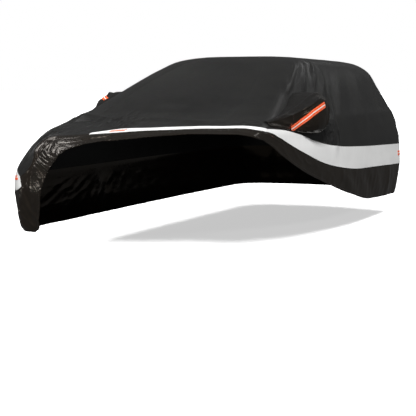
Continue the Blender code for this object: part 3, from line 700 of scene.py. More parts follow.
def run_lengths(points, axis):
    """How far each point of a grid lies from its first row (axis 0) or column (axis 1)."""
    steps = np.linalg.norm(np.diff(points, axis=axis), axis=-1)
    pad = ((1, 0), (0, 0)) if axis == 0 else ((0, 0), (1, 0))
    return np.pad(np.cumsum(steps, axis=axis), pad)


# --- Meshes ----------------------------------------------------------------------------------

WELD_DIGITS = 5  # points of a sheet that agree to this many decimals are one
SHARP_ANGLE = math.radians(70)


def smooth_object(name, vertices, faces, material):
    """An object of this mesh, smoothly shaded, in this material."""
    mesh = bpy.data.meshes.new(name)
    mesh.from_pydata(vertices, [], faces)
    mesh.shade_smooth()
    mesh.materials.append(material)
    obj = bpy.data.objects.new(name, mesh)
    bpy.context.scene.collection.objects.link(obj)
    return obj


def sheet(name, outer, inner, material, ring=False, holes=None, uv=None):
    """One closed sheet between two grids of points, each of rows x columns x 3.

    ring joins the last column to the first, and holes marks the cells that are cut out. The UV
    map is in metres on the cloth, or is uv, which has one more column where ring is set.
    """
    rows, across = outer.shape[:2]
    if uv is None:
        closed = np.concatenate((outer, outer[:, :1]), axis=1) if ring else outer
        middle = np.repeat(run_lengths(closed, 1)[rows // 2:rows // 2 + 1], rows, axis=0)
        uv = np.stack((middle, run_lengths(closed, 0)), axis=-1)
    rounded = np.round(outer.reshape(-1, 3), WELD_DIGITS)
    _, first, index = np.unique(rounded, axis=0, return_index=True, return_inverse=True)
    index = index.reshape(rows, across)
    count = len(first)
    vertices = np.concatenate((outer.reshape(-1, 3)[first], inner.reshape(-1, 3)[first]))
    faces, places, sides = [], [], {}
    for i in range(rows - 1):
        for j in range(across if ring else across - 1):
            if holes is not None and holes[i, j]:
                continue
            cell = ((i, j), (i, j + 1), (i + 1, j + 1), (i + 1, j))
            ids = [int(index[a, b % across]) for a, b in cell]
            keep = [k for k in range(4) if ids[k] != ids[k - 1]]
            if len(keep) < 3:
                continue
            ids = [ids[k] for k in keep]
            cell = [cell[k] for k in keep]
            faces += [ids, [count + v for v in reversed(ids)]]
            places += [cell, cell[::-1]]
            for k in range(len(ids)):
                sides[ids[k - 1], ids[k]] = (cell[k - 1], cell[k])
    for (start, end), (from_cell, to_cell) in sides.items():
        if (end, start) not in sides:
            faces.append([end, start, count + start, count + end])
            places.append([to_cell, from_cell, from_cell, to_cell])
    obj = smooth_object(name, vertices, faces, material)
    layer = obj.data.uv_layers.new(name="cloth")
    layer.data.foreach_set("uv", [c for face in places for a, b in face for c in uv[a, b]])
    obj.data.set_sharp_from_angle(angle=SHARP_ANGLE)
    return obj


def cover_sheet(name, turn, level, bottom, top, material, **options):
    """A sheet on the cover, between two heights over its folds."""
    return sheet(name, cover_points(turn, level, top), cover_points(turn, level, bottom),
                 material, **options)


def finish_piece(obj, slot, flat, area, held, *nodes):
    """Rides the body and stands for its CAD nodes. Its slot is not used."""
    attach(obj, "root")
    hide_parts(*nodes)


STITCH_SECTIONS = ((-0.5, 0.35), (0.0, 1.0), (0.5, 0.35))  # share of its length, of its thickness
STITCH_SIDES = 6


def stitching(name, runs, look):
    """Rows of stitches joined in one mesh: each is a bead of thread, half sunk in the cloth.

    Every run is a row of points on a sheet's outer face, with the normals there.
    """
    sizes = bpy.context.scene.cover_sizes
    angles = [2 * math.pi * k / STITCH_SIDES for k in range(STITCH_SIDES)]
    placed = []
    for points, normals in runs:
        along = run_lengths(points[:, None], 0)[:, 0]
        middles = np.arange(sizes.stitch_pitch, along[-1] - sizes.stitch_pitch / 2,
                            sizes.stitch_pitch)
        middle, up, ahead = [np.stack([np.interp(middles, along, v) for v in values.T], axis=-1)
                             for values in (points, normals, np.gradient(points, axis=0))]
        up, ahead = unit(up), unit(ahead)
        aside = np.cross(ahead, up)
        bead = [middle + ahead * length * sizes.stitch
                + (up * math.cos(angle) + aside * math.sin(angle)) * thick * sizes.thread / 2
                for length, thick in STITCH_SECTIONS for angle in angles]
        placed.append(np.stack(bead, axis=1).reshape(-1, 3))
    one, rings = [], len(bead)
    for ring in range(len(STITCH_SECTIONS) - 1):
        for k in range(STITCH_SIDES):
            a, b = ring * STITCH_SIDES + k, ring * STITCH_SIDES + (k + 1) % STITCH_SIDES
            one.append((a, b, b + STITCH_SIDES, a + STITCH_SIDES))
    one += [tuple(reversed(range(STITCH_SIDES))), tuple(range(rings - STITCH_SIDES, rings))]
    vertices = np.concatenate(placed)
    faces = [[start + vertex for vertex in face] for start in range(0, len(vertices), rings)
             for face in one]
    obj = smooth_object(name, vertices, faces, look)
    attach(obj, "root")


# --- Materials -------------------------------------------------------------------------------

# Threads, beads and ribs are drawn larger than they are, so that they show in a close view: the
# cloth's threads are 0.4 mm apart, the film's beads 0.06 mm and the webbing's ribs 0.8 mm.
WEAVE_PITCH = 0.003
BEAD_PITCH = 0.0025
RIB_PITCH = 0.002
STRIPE_HALF = 0.09  # of the webbing's width: the stripe is 8 mm wide on webbing of 46 mm


def wire(tree, node, values=None, links=None):
    """Sets a node's socket values, and links its other sockets to what they read."""
    for socket, value in (values or {}).items():
        node.inputs[socket].default_value = value
    for socket, source in (links or {}).items():
        tree.links.new(source, node.inputs[socket])
    return node


def add(tree, kind, values=None, links=None, **settings):
    """Adds a node with its settings, its socket values and what its sockets are linked to."""
    node = tree.nodes.new(kind)
    for name, value in settings.items():
        setattr(node, name, value)
    return wire(tree, node, values, links)


def new_material(name):
    """An empty material: its tree, its shader and a node of texture coordinates."""
    made = bpy.data.materials.new(name)
    made.use_nodes = True
    tree = made.node_tree
    return made, tree, tree.nodes["Principled BSDF"], add(tree, "ShaderNodeTexCoord")


def grain(tree, place, scale, detail=2.0, roughness=0.5, **values):
    """Random patches over an object, so many to a metre."""
    return add(tree, "ShaderNodeTexNoise",
               {"Scale": scale, "Detail": detail, "Roughness": roughness, **values},
               {"Vector": place.outputs["Object"]}).outputs["Fac"]


def mix(tree, factor, first, second):
    """A node that mixes two colours, its sockets 6 and 7, by a factor."""
    return add(tree, "ShaderNodeMix", {6: first, 7: second}, {0: factor}, data_type="RGBA")


def spread(tree, factor, low, high):
    """A factor from 0 to 1, spread from low to high: sockets 3 and 4 of a map range."""
    return add(tree, "ShaderNodeMapRange", {3: low, 4: high}, {0: factor}).outputs[0]


def narrow(tree, factor, low, high):
    """A factor that is 0 up to low and 1 from high on: sockets 1 and 2 of a map range."""
    return add(tree, "ShaderNodeMapRange", {1: low, 2: high}, {0: factor}).outputs[0]


def bump(tree, height, strength, distance, **under):
    """Normals bent by a height, over those under it."""
    return add(tree, "ShaderNodeBump", {"Strength": strength, "Distance": distance},
               {"Height": height, **under}).outputs[0]


def maths(tree, operation, *inputs):
    """The result of an operation on numbers and on other nodes' results."""
    values = {i: value for i, value in enumerate(inputs) if isinstance(value, float)}
    links = {i: source for i, source in enumerate(inputs) if i not in values}
    return add(tree, "ShaderNodeMath", values, links, operation=operation).outputs[0]


def wave(tree, along, pitch):
    """A sine wave of this pitch in metres."""
    return maths(tree, "SINE", maths(tree, "MULTIPLY", along, 2 * math.pi / pitch))


def uv_axes(tree, place):
    """The two axes of the UV map."""
    apart = add(tree, "ShaderNodeSeparateXYZ", links={0: place.outputs["UV"]})
    return apart.outputs[0], apart.outputs[1]


def weave(tree, place, pitch):
    """A plain weave of this pitch, as a height from 0 to 1."""
    across, along = [wave(tree, axis, pitch) for axis in uv_axes(tree, place)]
    return maths(tree, "MULTIPLY_ADD", maths(tree, "MULTIPLY", across, along), 0.5, 0.5)


def coated_polyester(colours):
    """Woven polyester with a matte coating: dark and even, with a faint sheen at a slant."""
    made, tree, shader, place = new_material("coated polyester, matte black")
    patches = grain(tree, place, 3.0, detail=5.0, roughness=0.6)
    rubbed = narrow(tree, patches, low=0.35, high=0.75)
    crinkle = bump(tree, grain(tree, place, 14.0, detail=4.0, roughness=0.55),
                   strength=0.15, distance=0.004)
    threads = bump(tree, weave(tree, place, WEAVE_PITCH), strength=0.20, distance=0.0004,
                   Normal=crinkle)
    wire(tree, shader,
         {"Specular IOR Level": 0.35, "IOR": 1.48, "Sheen Weight": 0.01, "Sheen Roughness": 0.45},
         {"Base Color": mix(tree, rubbed, colours.cloth, colours.cloth_worn).outputs[2],
          "Roughness": spread(tree, patches, low=0.34, high=0.42), "Normal": threads})
    return made


def glossy_film(colours):
    """Polyethylene film on cloth: near black, wet looking, with sharp and warm highlights."""
    made, tree, shader, place = new_material("polyethylene film, glossy black")
    crinkle = grain(tree, place, 11.0, detail=4.0, Distortion=0.8)
    creases = add(tree, "ShaderNodeTexNoise", {"Scale": 10.0, "Detail": 3.0, "Roughness": 0.45,
                                               "Lacunarity": 2.2, "Offset": 0.9, "Gain": 1.4},
                  {"Vector": place.outputs["Object"]}, noise_type="RIDGED_MULTIFRACTAL",
                  normalize=False).outputs["Fac"]
    broad = bump(tree, crinkle, strength=0.15, distance=0.006)
    fine = bump(tree, creases, strength=0.12, distance=0.002, Normal=broad)
    wire(tree, shader, {"IOR": 1.51, "Specular Tint": linear("#ffe9cf")},
         {"Base Color": mix(tree, crinkle, colours.film, colours.film_light).outputs[2],
          "Roughness": spread(tree, crinkle, low=0.10, high=0.24), "Normal": fine})
    return made


def pocket_film(colours):
    """The same film, with the upper cloth's matte coating over a pocket's upper part."""
    made = glossy_film(colours)
    made.name = "polyethylene film, coated matte above"
    tree = made.node_tree
    shader = tree.nodes["Principled BSDF"]
    height = uv_axes(tree, add(tree, "ShaderNodeTexCoord"))[1]
    coated = narrow(tree, height, *COATED_FROM)
    tint = mix(tree, coated, colours.film, colours.cloth)
    tree.links.new(shader.inputs["Base Color"].links[0].from_socket, tint.inputs[6])
    wire(tree, shader, links={"Base Color": tint.outputs[2],
                              "Roughness": spread(tree, coated, low=0.20, high=0.46)})
    return made


def reflective_film(colours):
    """Silver film with fine glass beads: pale and even, creased where the cloth under it is."""
    made, tree, shader, place = new_material("glass bead film, silver")
    creases = grain(tree, place, 9.0, detail=6.0, roughness=0.6, Distortion=1.2)
    broad = bump(tree, creases, strength=0.22, distance=0.004)
    beads = bump(tree, weave(tree, place, BEAD_PITCH), strength=0.12, distance=0.0003,
                 Normal=broad)
    wire(tree, shader, {"Roughness": 0.42},
         {"Base Color": mix(tree, creases, colours.band, linear("#e8e8e7")).outputs[2],
          "Normal": beads})
    return made


def striped_webbing(colours):
    """Woven polypropylene webbing: ribs run across it, and a silver stripe down its middle."""
    made, tree, shader, place = new_material("polypropylene webbing, orange")
    along, across = uv_axes(tree, place)
    away = maths(tree, "ABSOLUTE", maths(tree, "SUBTRACT", across, 0.5))
    inside = maths(tree, "LESS_THAN", away, STRIPE_HALF)
    tint = mix(tree, inside, colours.webbing, colours.stripe)
    shade = spread(tree, grain(tree, place, 60.0, detail=3.0), low=0.86, high=1.08)
    shaded = add(tree, "ShaderNodeVectorMath", links={0: tint.outputs[2], 1: shade},
                 operation="MULTIPLY")
    ribs = bump(tree, wave(tree, along, RIB_PITCH), strength=0.5, distance=0.0005)
    wire(tree, shader, {"Roughness": 0.65, "Specular IOR Level": 0.20, "Sheen Weight": 0.03},
         {"Base Color": shaded.outputs[0], "Normal": ribs})
    return made


def bonded_thread(shade, base):
    """Bonded polyester thread: slightly waxy, a little lighter where its plies catch light."""
    made, tree, shader, place = new_material(f"bonded polyester thread, {shade}")
    tint = add(tree, "ShaderNodeHueSaturation", {"Color": base, "Value": 1.5},
               {"Fac": grain(tree, place, 900.0)})
    wire(tree, shader, {"Roughness": 0.5}, {"Base Color": tint.outputs[0]})
    return made


def studio_paper():
    """Matte white background paper: even, with no gloss."""
    made, tree, shader, place = new_material("background paper, white")
    tint = mix(tree, grain(tree, place, 1.5), linear("#f6f6f6"), linear("#f1f1f1"))
    wire(tree, shader, {"Roughness": 0.9, "Emission Color": linear("#ffffff"),
                        "Emission Strength": FLOOR_GLOW}, {"Base Color": tint.outputs[2]})
    return made


# --- Operators -------------------------------------------------------------------------------

class COVER_OT_upper_cloth(bpy.types.Operator):
    """Builds the matte upper cloth, from the ridge down to the skirt's seam."""

    bl_idname = "cover.upper_cloth"
    bl_label = "Upper Cloth"

    def execute(self, context):
        sizes = context.scene.cover_sizes
        turns = grid_turns(BODY_COLUMNS)
        shoulder, top, seam, _, _ = lines(turns)
        dip = shoulder[1] - BELT
        rows = [(turns, level + dip * (level / BELT) ** 2)
                for level in np.linspace(0, BELT, TOP_ROWS + 1)]
        rows += [part_way(shoulder, top, i / SIDE_ROWS) for i in range(1, SIDE_ROWS + 1)]
        rows += [part_way(top, seam, i / UNDER_BAND_ROWS) for i in range(1, UNDER_BAND_ROWS)]
        rows.append(beside(seam, top, sizes.seat))
        turn, level = stack(rows)
        points = form(turn, level)
        from_seam = np.linalg.norm(points - form(*seam), axis=-1)
        from_band = run_lengths(points[::-1], 0)[::-1]
        from_band = from_band - from_band[TOP_ROWS + SIDE_ROWS]
        lift = upper_lift(points) * ease(0, EDGE_CALM, np.minimum(from_band, from_seam))
        obj = cover_sheet("upper_cloth", turn, level, lift - sizes.cloth, lift,
                          coated_polyester(context.scene.cover_colours), ring=True,
                          holes=opening_cells(points))
        finish_piece(obj, "upper_cloth", BODY_FLAT, BODY_AREA, "draped", "body")
        runs = []
        for first, last in SEAM_RUNS:
            turns = even_turns(first, last)
            _, top, seam, _, _ = lines(turns)
            for row in (1, 2):
                sewn = beside(seam, top, row * sizes.stitch_edge)
                lift = upper_lift(form(*sewn)) * ease(0, EDGE_CALM, row * sizes.stitch_edge)
                runs.append(on_cover(sewn, lift))
        thread = bonded_thread("black", context.scene.cover_colours.thread)
        stitching("seam_stitching", runs, thread)
        return {"FINISHED"}


def opening_cells(points):
    """The cells of the upper cloth that are cut out under the pockets."""
    first, last = POCKET[0][0], POCKET[-1][0]
    low, high, _ = pocket_limits(points[..., 1])
    height = np.abs(points[..., 2] - (low + high) / 2) < OPENING_SHARE * (high - low) / 2
    length = (points[..., 1] > first + OPENING_FRONT) & (points[..., 1] < last - OPENING_REAR)
    inside = height & length & (np.abs(points[..., 0]) > SIDE_REACH)
    across = np.roll(inside, -1, axis=1)
    return inside[:-1] & inside[1:] & across[:-1] & across[1:]


class COVER_OT_skirt(bpy.types.Operator):
    """Builds the glossy skirt: it reaches under the upper cloth and ends in a turned hem."""

    bl_idname = "cover.skirt"
    bl_label = "Skirt"

    def execute(self, context):
        sizes = context.scene.cover_sizes
        turns = grid_turns(SKIRT_COLUMNS)
        _, top, seam, low, hem = lines(turns)
        rows = [beside(seam, top, sizes.lap), beside(seam, low, SKIRT_START)]
        rows += [part_way(seam, low, i / SKIRT_BAND_ROWS) for i in range(1, SKIRT_BAND_ROWS)]
        rows += [part_way(low, hem, share) for share in np.linspace(0, 1, SKIRT_ROWS + 1)]
        turn, level = stack(rows)
        points = form(turn, level)
        down = run_lengths(points, 0)
        left = down[-1] - down
        stitched = sizes.hem - HEM_STEP
        at_hem = 1 - ease(stitched, sizes.hem, left)
        tucked = np.zeros(turn.shape)
        tucked[0] = sizes.cloth + sizes.seat
        lift = film_lift(turns, points, down - down[SKIRT_BAND_ROWS + 1], left) - tucked
        outer = cover_points(turn, level, lift + at_hem * HEM_OUT)
        inner = cover_points(turn, level, lift - sizes.cloth * (1 + HEM_IN * at_hem))
        obj = sheet("skirt_cloth", outer, inner, glossy_film(context.scene.cover_colours),
                    ring=True)
        finish_piece(obj, "skirt_film", SKIRT_FLAT, SKIRT_AREA, "draped", "skirt")
        row = (left > stitched).sum(axis=0) - 1
        every = np.arange(len(turns))
        before, after = left[row, every], left[row + 1, every]
        share = ((before - stitched) / (before - after))[:, None]
        path = outer[row, every] * (1 - share) + outer[row + 1, every] * share
        up = unit(outer[row, every] - inner[row, every])
        thread = bonded_thread("black", context.scene.cover_colours.thread)
        stitching("hem_stitching", [(path, up)], thread)
        return {"FINISHED"}


def film_lift(turns, points, from_band, from_hem):
    """How far the film's creases lift it, from its band down to its hem."""
    at = look_up(FILM, FILM_COLUMNS, turns)
    middle = run_lengths(points, 1)[len(points) // 2]
    u = np.cumsum(np.diff(middle, prepend=0) / at["round"]) + 0 * from_band
    places = np.stack((u, from_band / at["down"], np.zeros(u.shape)), axis=-1)
    lift = at["height"] * creased(places, FILM_SEED)
    lift += FILM_FINE_SHARE * at["height"] * creased(points / FILM_FINE_SPACING, FILM_FINE_SEED)
    pucker = PUCKER_HEIGHT * np.sin(2 * math.pi * middle / PUCKER_PITCH)
    return (lift + pucker * np.exp(-from_hem / PUCKER_REACH)) * ease(0, FILM_START, from_band)


class COVER_OT_bands(bpy.types.Operator):
    """Builds the reflective band of each side over the seam."""

    bl_idname = "cover.bands"
    bl_label = "Bands"

    def execute(self, context):
        sizes = context.scene.cover_sizes
        look = reflective_film(context.scene.cover_colours)
        thread = bonded_thread("silver", context.scene.cover_colours.band_thread)
        for side, first, last, area in BANDS:
            turns = even_turns(first, last)
            _, top, seam, low, _ = lines(turns)
            half = BAND_ROWS // 2
            rows = [part_way(top, seam, i / half) for i in range(half)]
            rows += [part_way(seam, low, i / half) for i in range(half + 1)]
            turn, level = stack(rows)
            face = sizes.seat + sizes.band
            obj = cover_sheet(f"band_{side}_film", turn, level, sizes.seat, face, look)
            finish_piece(obj, "reflective_band", BAND_FLAT, area, "stretched", f"band_{side}")
            runs = [on_cover(beside(edge, seam, sizes.stitch_edge), face) for edge in (top, low)]
            stitching(f"band_{side}_stitching", runs, thread)
        return {"FINISHED"}


def tab_grid(middle, half_width):
    """Turns and levels of a tab on the middle of a band, and how far along it they lie."""
    turns = np.linspace(middle - TAB_SEARCH, middle + TAB_SEARCH, TAB_SAMPLES)
    seam = lines(turns)[2]
    along = run_lengths(form(*seam)[:, None], 0)[:, 0]
    start = np.interp(middle, turns, along) - TAB_LENGTH / 2
    places = np.linspace(start, start + TAB_LENGTH, TAB_STEPS)
    _, top, seam, low, _ = lines(np.interp(places, along, turns))
    rows = [beside(seam, top if share < 0 else low, abs(share) * half_width)
            for share in np.linspace(-1, 1, TAB_ACROSS)]
    return *stack(rows), places - start


class COVER_OT_webbing(bpy.types.Operator):
    """Sews the short lengths of orange webbing on the bands."""

    bl_idname = "cover.webbing"
    bl_label = "Webbing"

    def execute(self, context):
        sizes = context.scene.cover_sizes
        look = striped_webbing(context.scene.cover_colours)
        thread = bonded_thread("silver", context.scene.cover_colours.band_thread)
        for name, middle in TABS:
            turn, level, run = tab_grid(middle, sizes.webbing_width / 2)
            base = 2 * sizes.seat + sizes.band
            face = base + sizes.webbing
            uv = np.stack(np.meshgrid(run, np.linspace(0, 1, TAB_ACROSS)), axis=-1)
            obj = cover_sheet(f"tab_{name}_webbing", turn, level, base, face, look, uv=uv)
            finish_piece(obj, "orange_webbing", (sizes.webbing_width, TAB_LENGTH), None,
                         "stretched", f"tab_{name}")
            runs = [on_cover((turn[row], level[row]), face) for row in (1, -2)]
            stitching(f"tab_{name}_stitching", runs, thread)
        return {"FINISHED"}


# --- Pockets ---------------------------------------------------------------------------------

def side_point(y, z, sign):
    """The point of the smooth form's side at this y and z, and the outward normal there."""
    levels = np.linspace(0, len(LEVELS) - 1, SIDE_LEVELS)
    level = np.interp(-z, -level_sizes(levels)["z"], levels)
    size = level_sizes(level)
    start = size["rear"] - size["bow_rear"] - size["round_rear"]
    stop = size["front"] + size["bow_front"] + size["round_front"]
    past = np.clip((stop - y) / size["round_front"], 0, SIDE_CORNER)
    turn = np.where(y >= stop, (start - y) / (start - stop), 1 + np.arcsin(past) * 2 / math.pi)
    turn = turn if sign > 0 else ACROSS - turn
    return form(turn, level), outward(turn, level)


def pocket_limits(y):
    """The low and high edges of a pocket and its reach outwards, at this y."""
    return look_up(POCKET, POCKET_COLUMNS, y).values()


def pocket_height(share):
    """How high a share of the way over a pocket lies: -1 at its lower rim and 1 at its upper."""
    across = np.cos(math.pi * share)
    return -np.sign(across) * np.abs(across) ** POCKET_SQUARENESS


def pocket_point(y, share, sign, seat):
    """A point of a pocket's inner face: share goes from its lower rim, 0, to its upper rim, 1."""
    low, high, reach = pocket_limits(y)
    height = (low + high) / 2 + pocket_height(share) * (high - low) / 2
    base, normal = side_point(y, height, sign)
    depth = np.maximum(reach - np.abs(base[..., 0]), POCKET_SHALLOW)
    stand = depth * np.abs(np.sin(math.pi * share)) ** POCKET_SQUARENESS
    outwards = unit(np.array((sign, *POCKET_LEAN)))
    return base + normal * seat + outwards * stand[..., None]


def pocket_normal(y, share, sign):
    """Unit normal of a pocket at this place, away from the cover."""
    step = POCKET_ROUND
    before, after = np.maximum(y - step, POCKET[0][0]), np.minimum(y + step, POCKET[-1][0])
    under, over = np.maximum(share - step, 0), np.minimum(share + step, 1)
    along = pocket_point(after, share, sign, 0) - pocket_point(before, share, sign, 0)
    across = pocket_point(y, over, sign, 0) - pocket_point(y, under, sign, 0)
    return unit(np.cross(along, across)) * sign


def pocket_lift(y, share, sign):
    """Creases of a pocket's film, which die out at its rim."""
    places = np.stack((y / POCKET_SPACING, share * POCKET_RATE, np.full(y.shape, sign)), axis=-1)
    lift = POCKET_CRUMPLE * creased(places, POCKET_SEED)
    points = pocket_point(y, share, sign, 0)
    lift += fine_ridges(points, lambda *at: pocket_point(*at, sign, 0), POCKET_FOLDS)
    webbing = pocket_point(*strip_line(sign), sign, 0)
    beside_webbing = np.linalg.norm(points[..., None, :] - webbing, axis=-1).min(axis=-1)
    lift *= ease(*WEBBING_CALM, beside_webbing)
    return lift * ease(0, POCKET_RIM, share) * ease(0, POCKET_RIM, 1 - share)


def strip_line(sign):
    """Places and shares along the middle of a pocket's webbing."""
    table = STRIPS["left" if sign > 0 else "right"]
    knots = np.arange(len(table), dtype=float)
    at = np.linspace(0, knots[-1], STRIP_STEPS)
    heights = smooth(knots, pocket_height(column(table, STRIP_COLUMNS, "share")), at)
    turned = -np.sign(heights) * np.abs(heights) ** (1 / POCKET_SQUARENESS)
    return smooth(knots, column(table, STRIP_COLUMNS, "y"), at), np.arccos(turned) / math.pi


def step_aside(y, share, run, sign, distance):
    """Places and shares at this distance across the webbing from others, over the pocket."""
    step = STRIP_ROUND
    by_y = (pocket_point(y + step, share, sign, 0)
            - pocket_point(y - step, share, sign, 0)) / (2 * step)
    by_share = (pocket_point(y, share + step, sign, 0)
                - pocket_point(y, share - step, sign, 0)) / (2 * step)
    aside = unit(np.cross(run, np.cross(by_y, by_share)))
    slopes = np.stack((by_y, by_share), axis=-1)
    turned = np.swapaxes(slopes, -1, -2)
    move = np.linalg.solve(turned @ slopes, turned @ aside[..., None])[..., 0] * distance
    return y + move[:, 0], share + move[:, 1]


def strip_grid(sign, width):
    """Places and shares of a grid on a pocket, along its webbing and across it."""
    middle = strip_line(sign)
    run = np.gradient(pocket_point(*middle, sign, 0), axis=0)
    step = width / (STRIP_ACROSS - 1) / STRIP_WALK
    halves = []
    for distance in (-step, step):
        place, half = middle, [middle]
        for _ in range(STRIP_ACROSS // 2):
            for _ in range(STRIP_WALK):
                place = step_aside(*place, run, sign, distance)
            half.append(place)
        halves.append(half)
    columns = np.array(halves[0][:0:-1] + halves[1])
    return columns[:, 0].T, columns[:, 1].T


def pocket_surface(y, share, sign, height):
    """Points at this height above a pocket's inner face, and the normals there."""
    points = pocket_point(y, share, sign, bpy.context.scene.cover_sizes.seat)
    normals = pocket_normal(y, share, sign)
    lift = pocket_lift(y, share, sign) + height
    return points + normals * lift[..., None] - ORIGIN, normals


def pocket_sheet(name, y, share, sign, bottom, top, material, uv):
    """A sheet on a pocket, between two heights above the pocket's inner face."""
    outer, _ = pocket_surface(y, share, sign, top)
    inner, _ = pocket_surface(y, share, sign, bottom)
    if sign > 0:
        outer, inner, uv = outer[::-1], inner[::-1], uv[::-1]
    return sheet(name, outer, inner, material, uv=uv)


class COVER_OT_mirror_pockets(bpy.types.Operator):
    """Builds the mirror pockets of film, and the webbing across the face of each."""

    bl_idname = "cover.mirror_pockets"
    bl_label = "Mirror Pockets"

    def execute(self, context):
        sizes = context.scene.cover_sizes
        film = pocket_film(context.scene.cover_colours)
        webbing = striped_webbing(context.scene.cover_colours)
        dark_thread = bonded_thread("black", context.scene.cover_colours.thread)
        silver_thread = bonded_thread("silver", context.scene.cover_colours.band_thread)
        y, share = np.meshgrid(np.linspace(POCKET[0][0], POCKET[-1][0], POCKET_STEPS),
                               np.linspace(0, 1, POCKET_ACROSS))
        pocket_uv = np.stack((y, share * POCKET_GIRTH), axis=-1)
        strip_uv = np.stack(np.meshgrid(np.linspace(0, STRIP_LENGTH, STRIP_STEPS),
                                        np.linspace(0, 1, STRIP_ACROSS), indexing="ij"), axis=-1)
        for side, sign in (("left", 1), ("right", -1)):
            pocket = pocket_sheet(f"mirror_pocket_{side}_film", y, share, sign, 0, sizes.cloth,
                                  film, pocket_uv)
            finish_piece(pocket, "skirt_film", POCKET_FLAT, POCKET_AREA, "draped",
                         f"mirror_pocket_{side}")
            rims = [pocket_surface(y[0], np.full(len(y[0]), edge), sign, sizes.cloth)
                    for edge in (POCKET_STITCHES, 1 - POCKET_STITCHES)]
            stitching(f"mirror_pocket_{side}_stitching", rims, dark_thread)
            base = sizes.cloth + sizes.seat
            face = base + sizes.webbing
            strip_y, strip_share = strip_grid(sign, sizes.webbing_width)
            strip = pocket_sheet(f"pocket_strip_{side}_webbing", strip_y, strip_share, sign,
                                 base, face, webbing, strip_uv)
            finish_piece(strip, "orange_webbing", (WEBBING_WIDTH, STRIP_LENGTH), None,
                         "stretched", f"pocket_strip_{side}")
            edges = [pocket_surface(strip_y[:, edge], strip_share[:, edge], sign, face)
                     for edge in (1, -2)]
            stitching(f"pocket_strip_{side}_stitching", edges, silver_thread)
        return {"FINISHED"}


# --- Stage -----------------------------------------------------------------------------------

GROUND = -ORIGIN[2]
CAMERA_PLACE = (3.60532, -8.00444, -0.26385)
CAMERA_AZIMUTH = math.radians(27.6249)
CAMERA_ELEVATION = math.radians(7.2372)
CAMERA_LENS = 82.454  # mm, on a sensor of 36 mm
FLOOR_SIZE = 400.0
FLOOR_GLOW = 0.55
WORLD_LIGHT = 0.07
LIGHT_SPREAD = 12.0  # degrees, how wide the key and the fill light seem
DAYLIGHTS = (  # name, place, strength
    ("key light", (2.0, -3.8, 3.8), 5.0),
    ("fill light", (-3.4, 4.4, 3.4), 3.2),
)
SOFTBOXES = (  # name, place, target, size, power
    ("left softbox", (-8.0, -7.0, 2.2), (-0.6, -2.2, -0.6), 0.9, 9),
    ("low left softbox", (-9.0, -5.1, -0.9), (-0.6, -2.1, -0.9), 0.5, 12),
    ("upper left softbox", (-5.0, -0.5, 3.5), (0.0, -2.0, -0.6), 1.0, 14),
    ("top softbox", (-2.8, -2.8, 4.7), (0.0, -1.8, -0.5), 0.7, 18),
    ("front softbox", (2.2, -8.0, 5.0), (0.4, -1.0, -0.5), 1.2, 15),
    ("right softbox", (8.6, -1.4, 2.4), (0.9, -0.8, -0.4), 0.8, 60),
    ("rear softbox", (3.0, 9.0, 4.0), (0.8, 0.0, -0.4), 1.5, 7),
    ("high rear softbox", (1.2, 6.5, 5.0), (0.9, -0.8, -0.4), 0.6, 16),
)


def place_lamp(context, lamp, place, target):
    """Puts a lamp at its place and turns it towards its target."""
    obj = bpy.data.objects.new(lamp.name, lamp)
    obj.location = place
    obj.rotation_mode = "QUATERNION"
    obj.rotation_quaternion = (Vector(target) - Vector(place)).to_track_quat("-Z", "Y")
    context.scene.collection.objects.link(obj)
    return obj


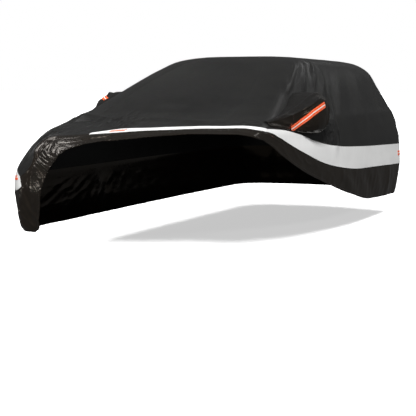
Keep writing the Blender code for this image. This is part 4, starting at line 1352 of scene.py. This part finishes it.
class COVER_OT_stage(bpy.types.Operator):
    """Sets the pale floor, the soft studio light and the camera."""

    bl_idname = "cover.stage"
    bl_label = "Stage"

    def execute(self, context):
        bpy.ops.object.select_all(action="DESELECT")
        bpy.ops.mesh.primitive_plane_add(size=FLOOR_SIZE, location=(0, 0, GROUND))
        floor = context.object
        floor.name = "floor"
        bpy.ops.object.transform_apply(location=True, rotation=False, scale=False)
        floor.data.materials.append(studio_paper())
        floor.visible_glossy = False
        floor.visible_diffuse = False
        world = bpy.data.worlds.new("studio")
        context.scene.world = world
        world.use_nodes = True
        # The background is white, but gives less light than that, so that black stays black.
        tree = world.node_tree
        rays = add(tree, "ShaderNodeLightPath")
        glow = spread(tree, rays.outputs["Is Camera Ray"], WORLD_LIGHT, 1.0)
        wire(tree, tree.nodes["Background"], {"Color": linear("#ffffff")}, {"Strength": glow})
        for name, place, strength in DAYLIGHTS:
            lamp = bpy.data.lights.new(name, "SUN")
            lamp.energy = strength
            lamp.angle = math.radians(LIGHT_SPREAD)
            place_lamp(context, lamp, place, (0, 0, 0)).visible_glossy = False
        for name, place, target, size, power in SOFTBOXES:
            lamp = bpy.data.lights.new(name, "AREA")
            lamp.size = size
            lamp.energy = power
            place_lamp(context, lamp, place, target)
        camera = bpy.data.objects.new("camera", bpy.data.cameras.new("camera"))
        camera.data.lens = CAMERA_LENS
        camera.location = CAMERA_PLACE
        ahead = Vector((-math.sin(CAMERA_AZIMUTH) * math.cos(CAMERA_ELEVATION),
                        math.cos(CAMERA_AZIMUTH) * math.cos(CAMERA_ELEVATION),
                        -math.sin(CAMERA_ELEVATION)))
        camera.rotation_mode = "QUATERNION"
        camera.rotation_quaternion = ahead.to_track_quat("-Z", "Y")
        context.scene.collection.objects.link(camera)
        context.scene.camera = camera
        context.scene.view_settings.view_transform = "Standard"
        return {"FINISHED"}


class COVER_PT_panel(bpy.types.Panel):
    """Lists the cover's pieces in the sidebar."""

    bl_idname = "COVER_PT_panel"
    bl_label = "Fitted Cover"
    bl_space_type = "VIEW_3D"
    bl_region_type = "UI"
    bl_category = "Cover"

    def draw(self, context):
        for group in (context.scene.cover_sizes, context.scene.cover_colours):
            for name in group.__annotations__:
                self.layout.prop(group, name)
        for operator in OPERATORS:
            self.layout.operator(operator.bl_idname)


OPERATORS = (COVER_OT_upper_cloth, COVER_OT_skirt, COVER_OT_bands, COVER_OT_webbing,
             COVER_OT_mirror_pockets, COVER_OT_stage)
CLASSES = (CoverSizes, CoverColours, *OPERATORS, COVER_PT_panel)


def register():
    for item in CLASSES:
        bpy.utils.register_class(item)
    bpy.types.Scene.cover_sizes = bpy.props.PointerProperty(type=CoverSizes)
    bpy.types.Scene.cover_colours = bpy.props.PointerProperty(type=CoverColours)


def unregister():
    del bpy.types.Scene.cover_sizes
    del bpy.types.Scene.cover_colours
    for item in reversed(CLASSES):
        bpy.utils.unregister_class(item)


def main():
    register()
    bpy.ops.cover.upper_cloth()
    bpy.ops.cover.skirt()
    bpy.ops.cover.bands()
    bpy.ops.cover.webbing()
    bpy.ops.cover.mirror_pockets()
    bpy.ops.cover.stage()


if __name__ == "__main__":
    main()
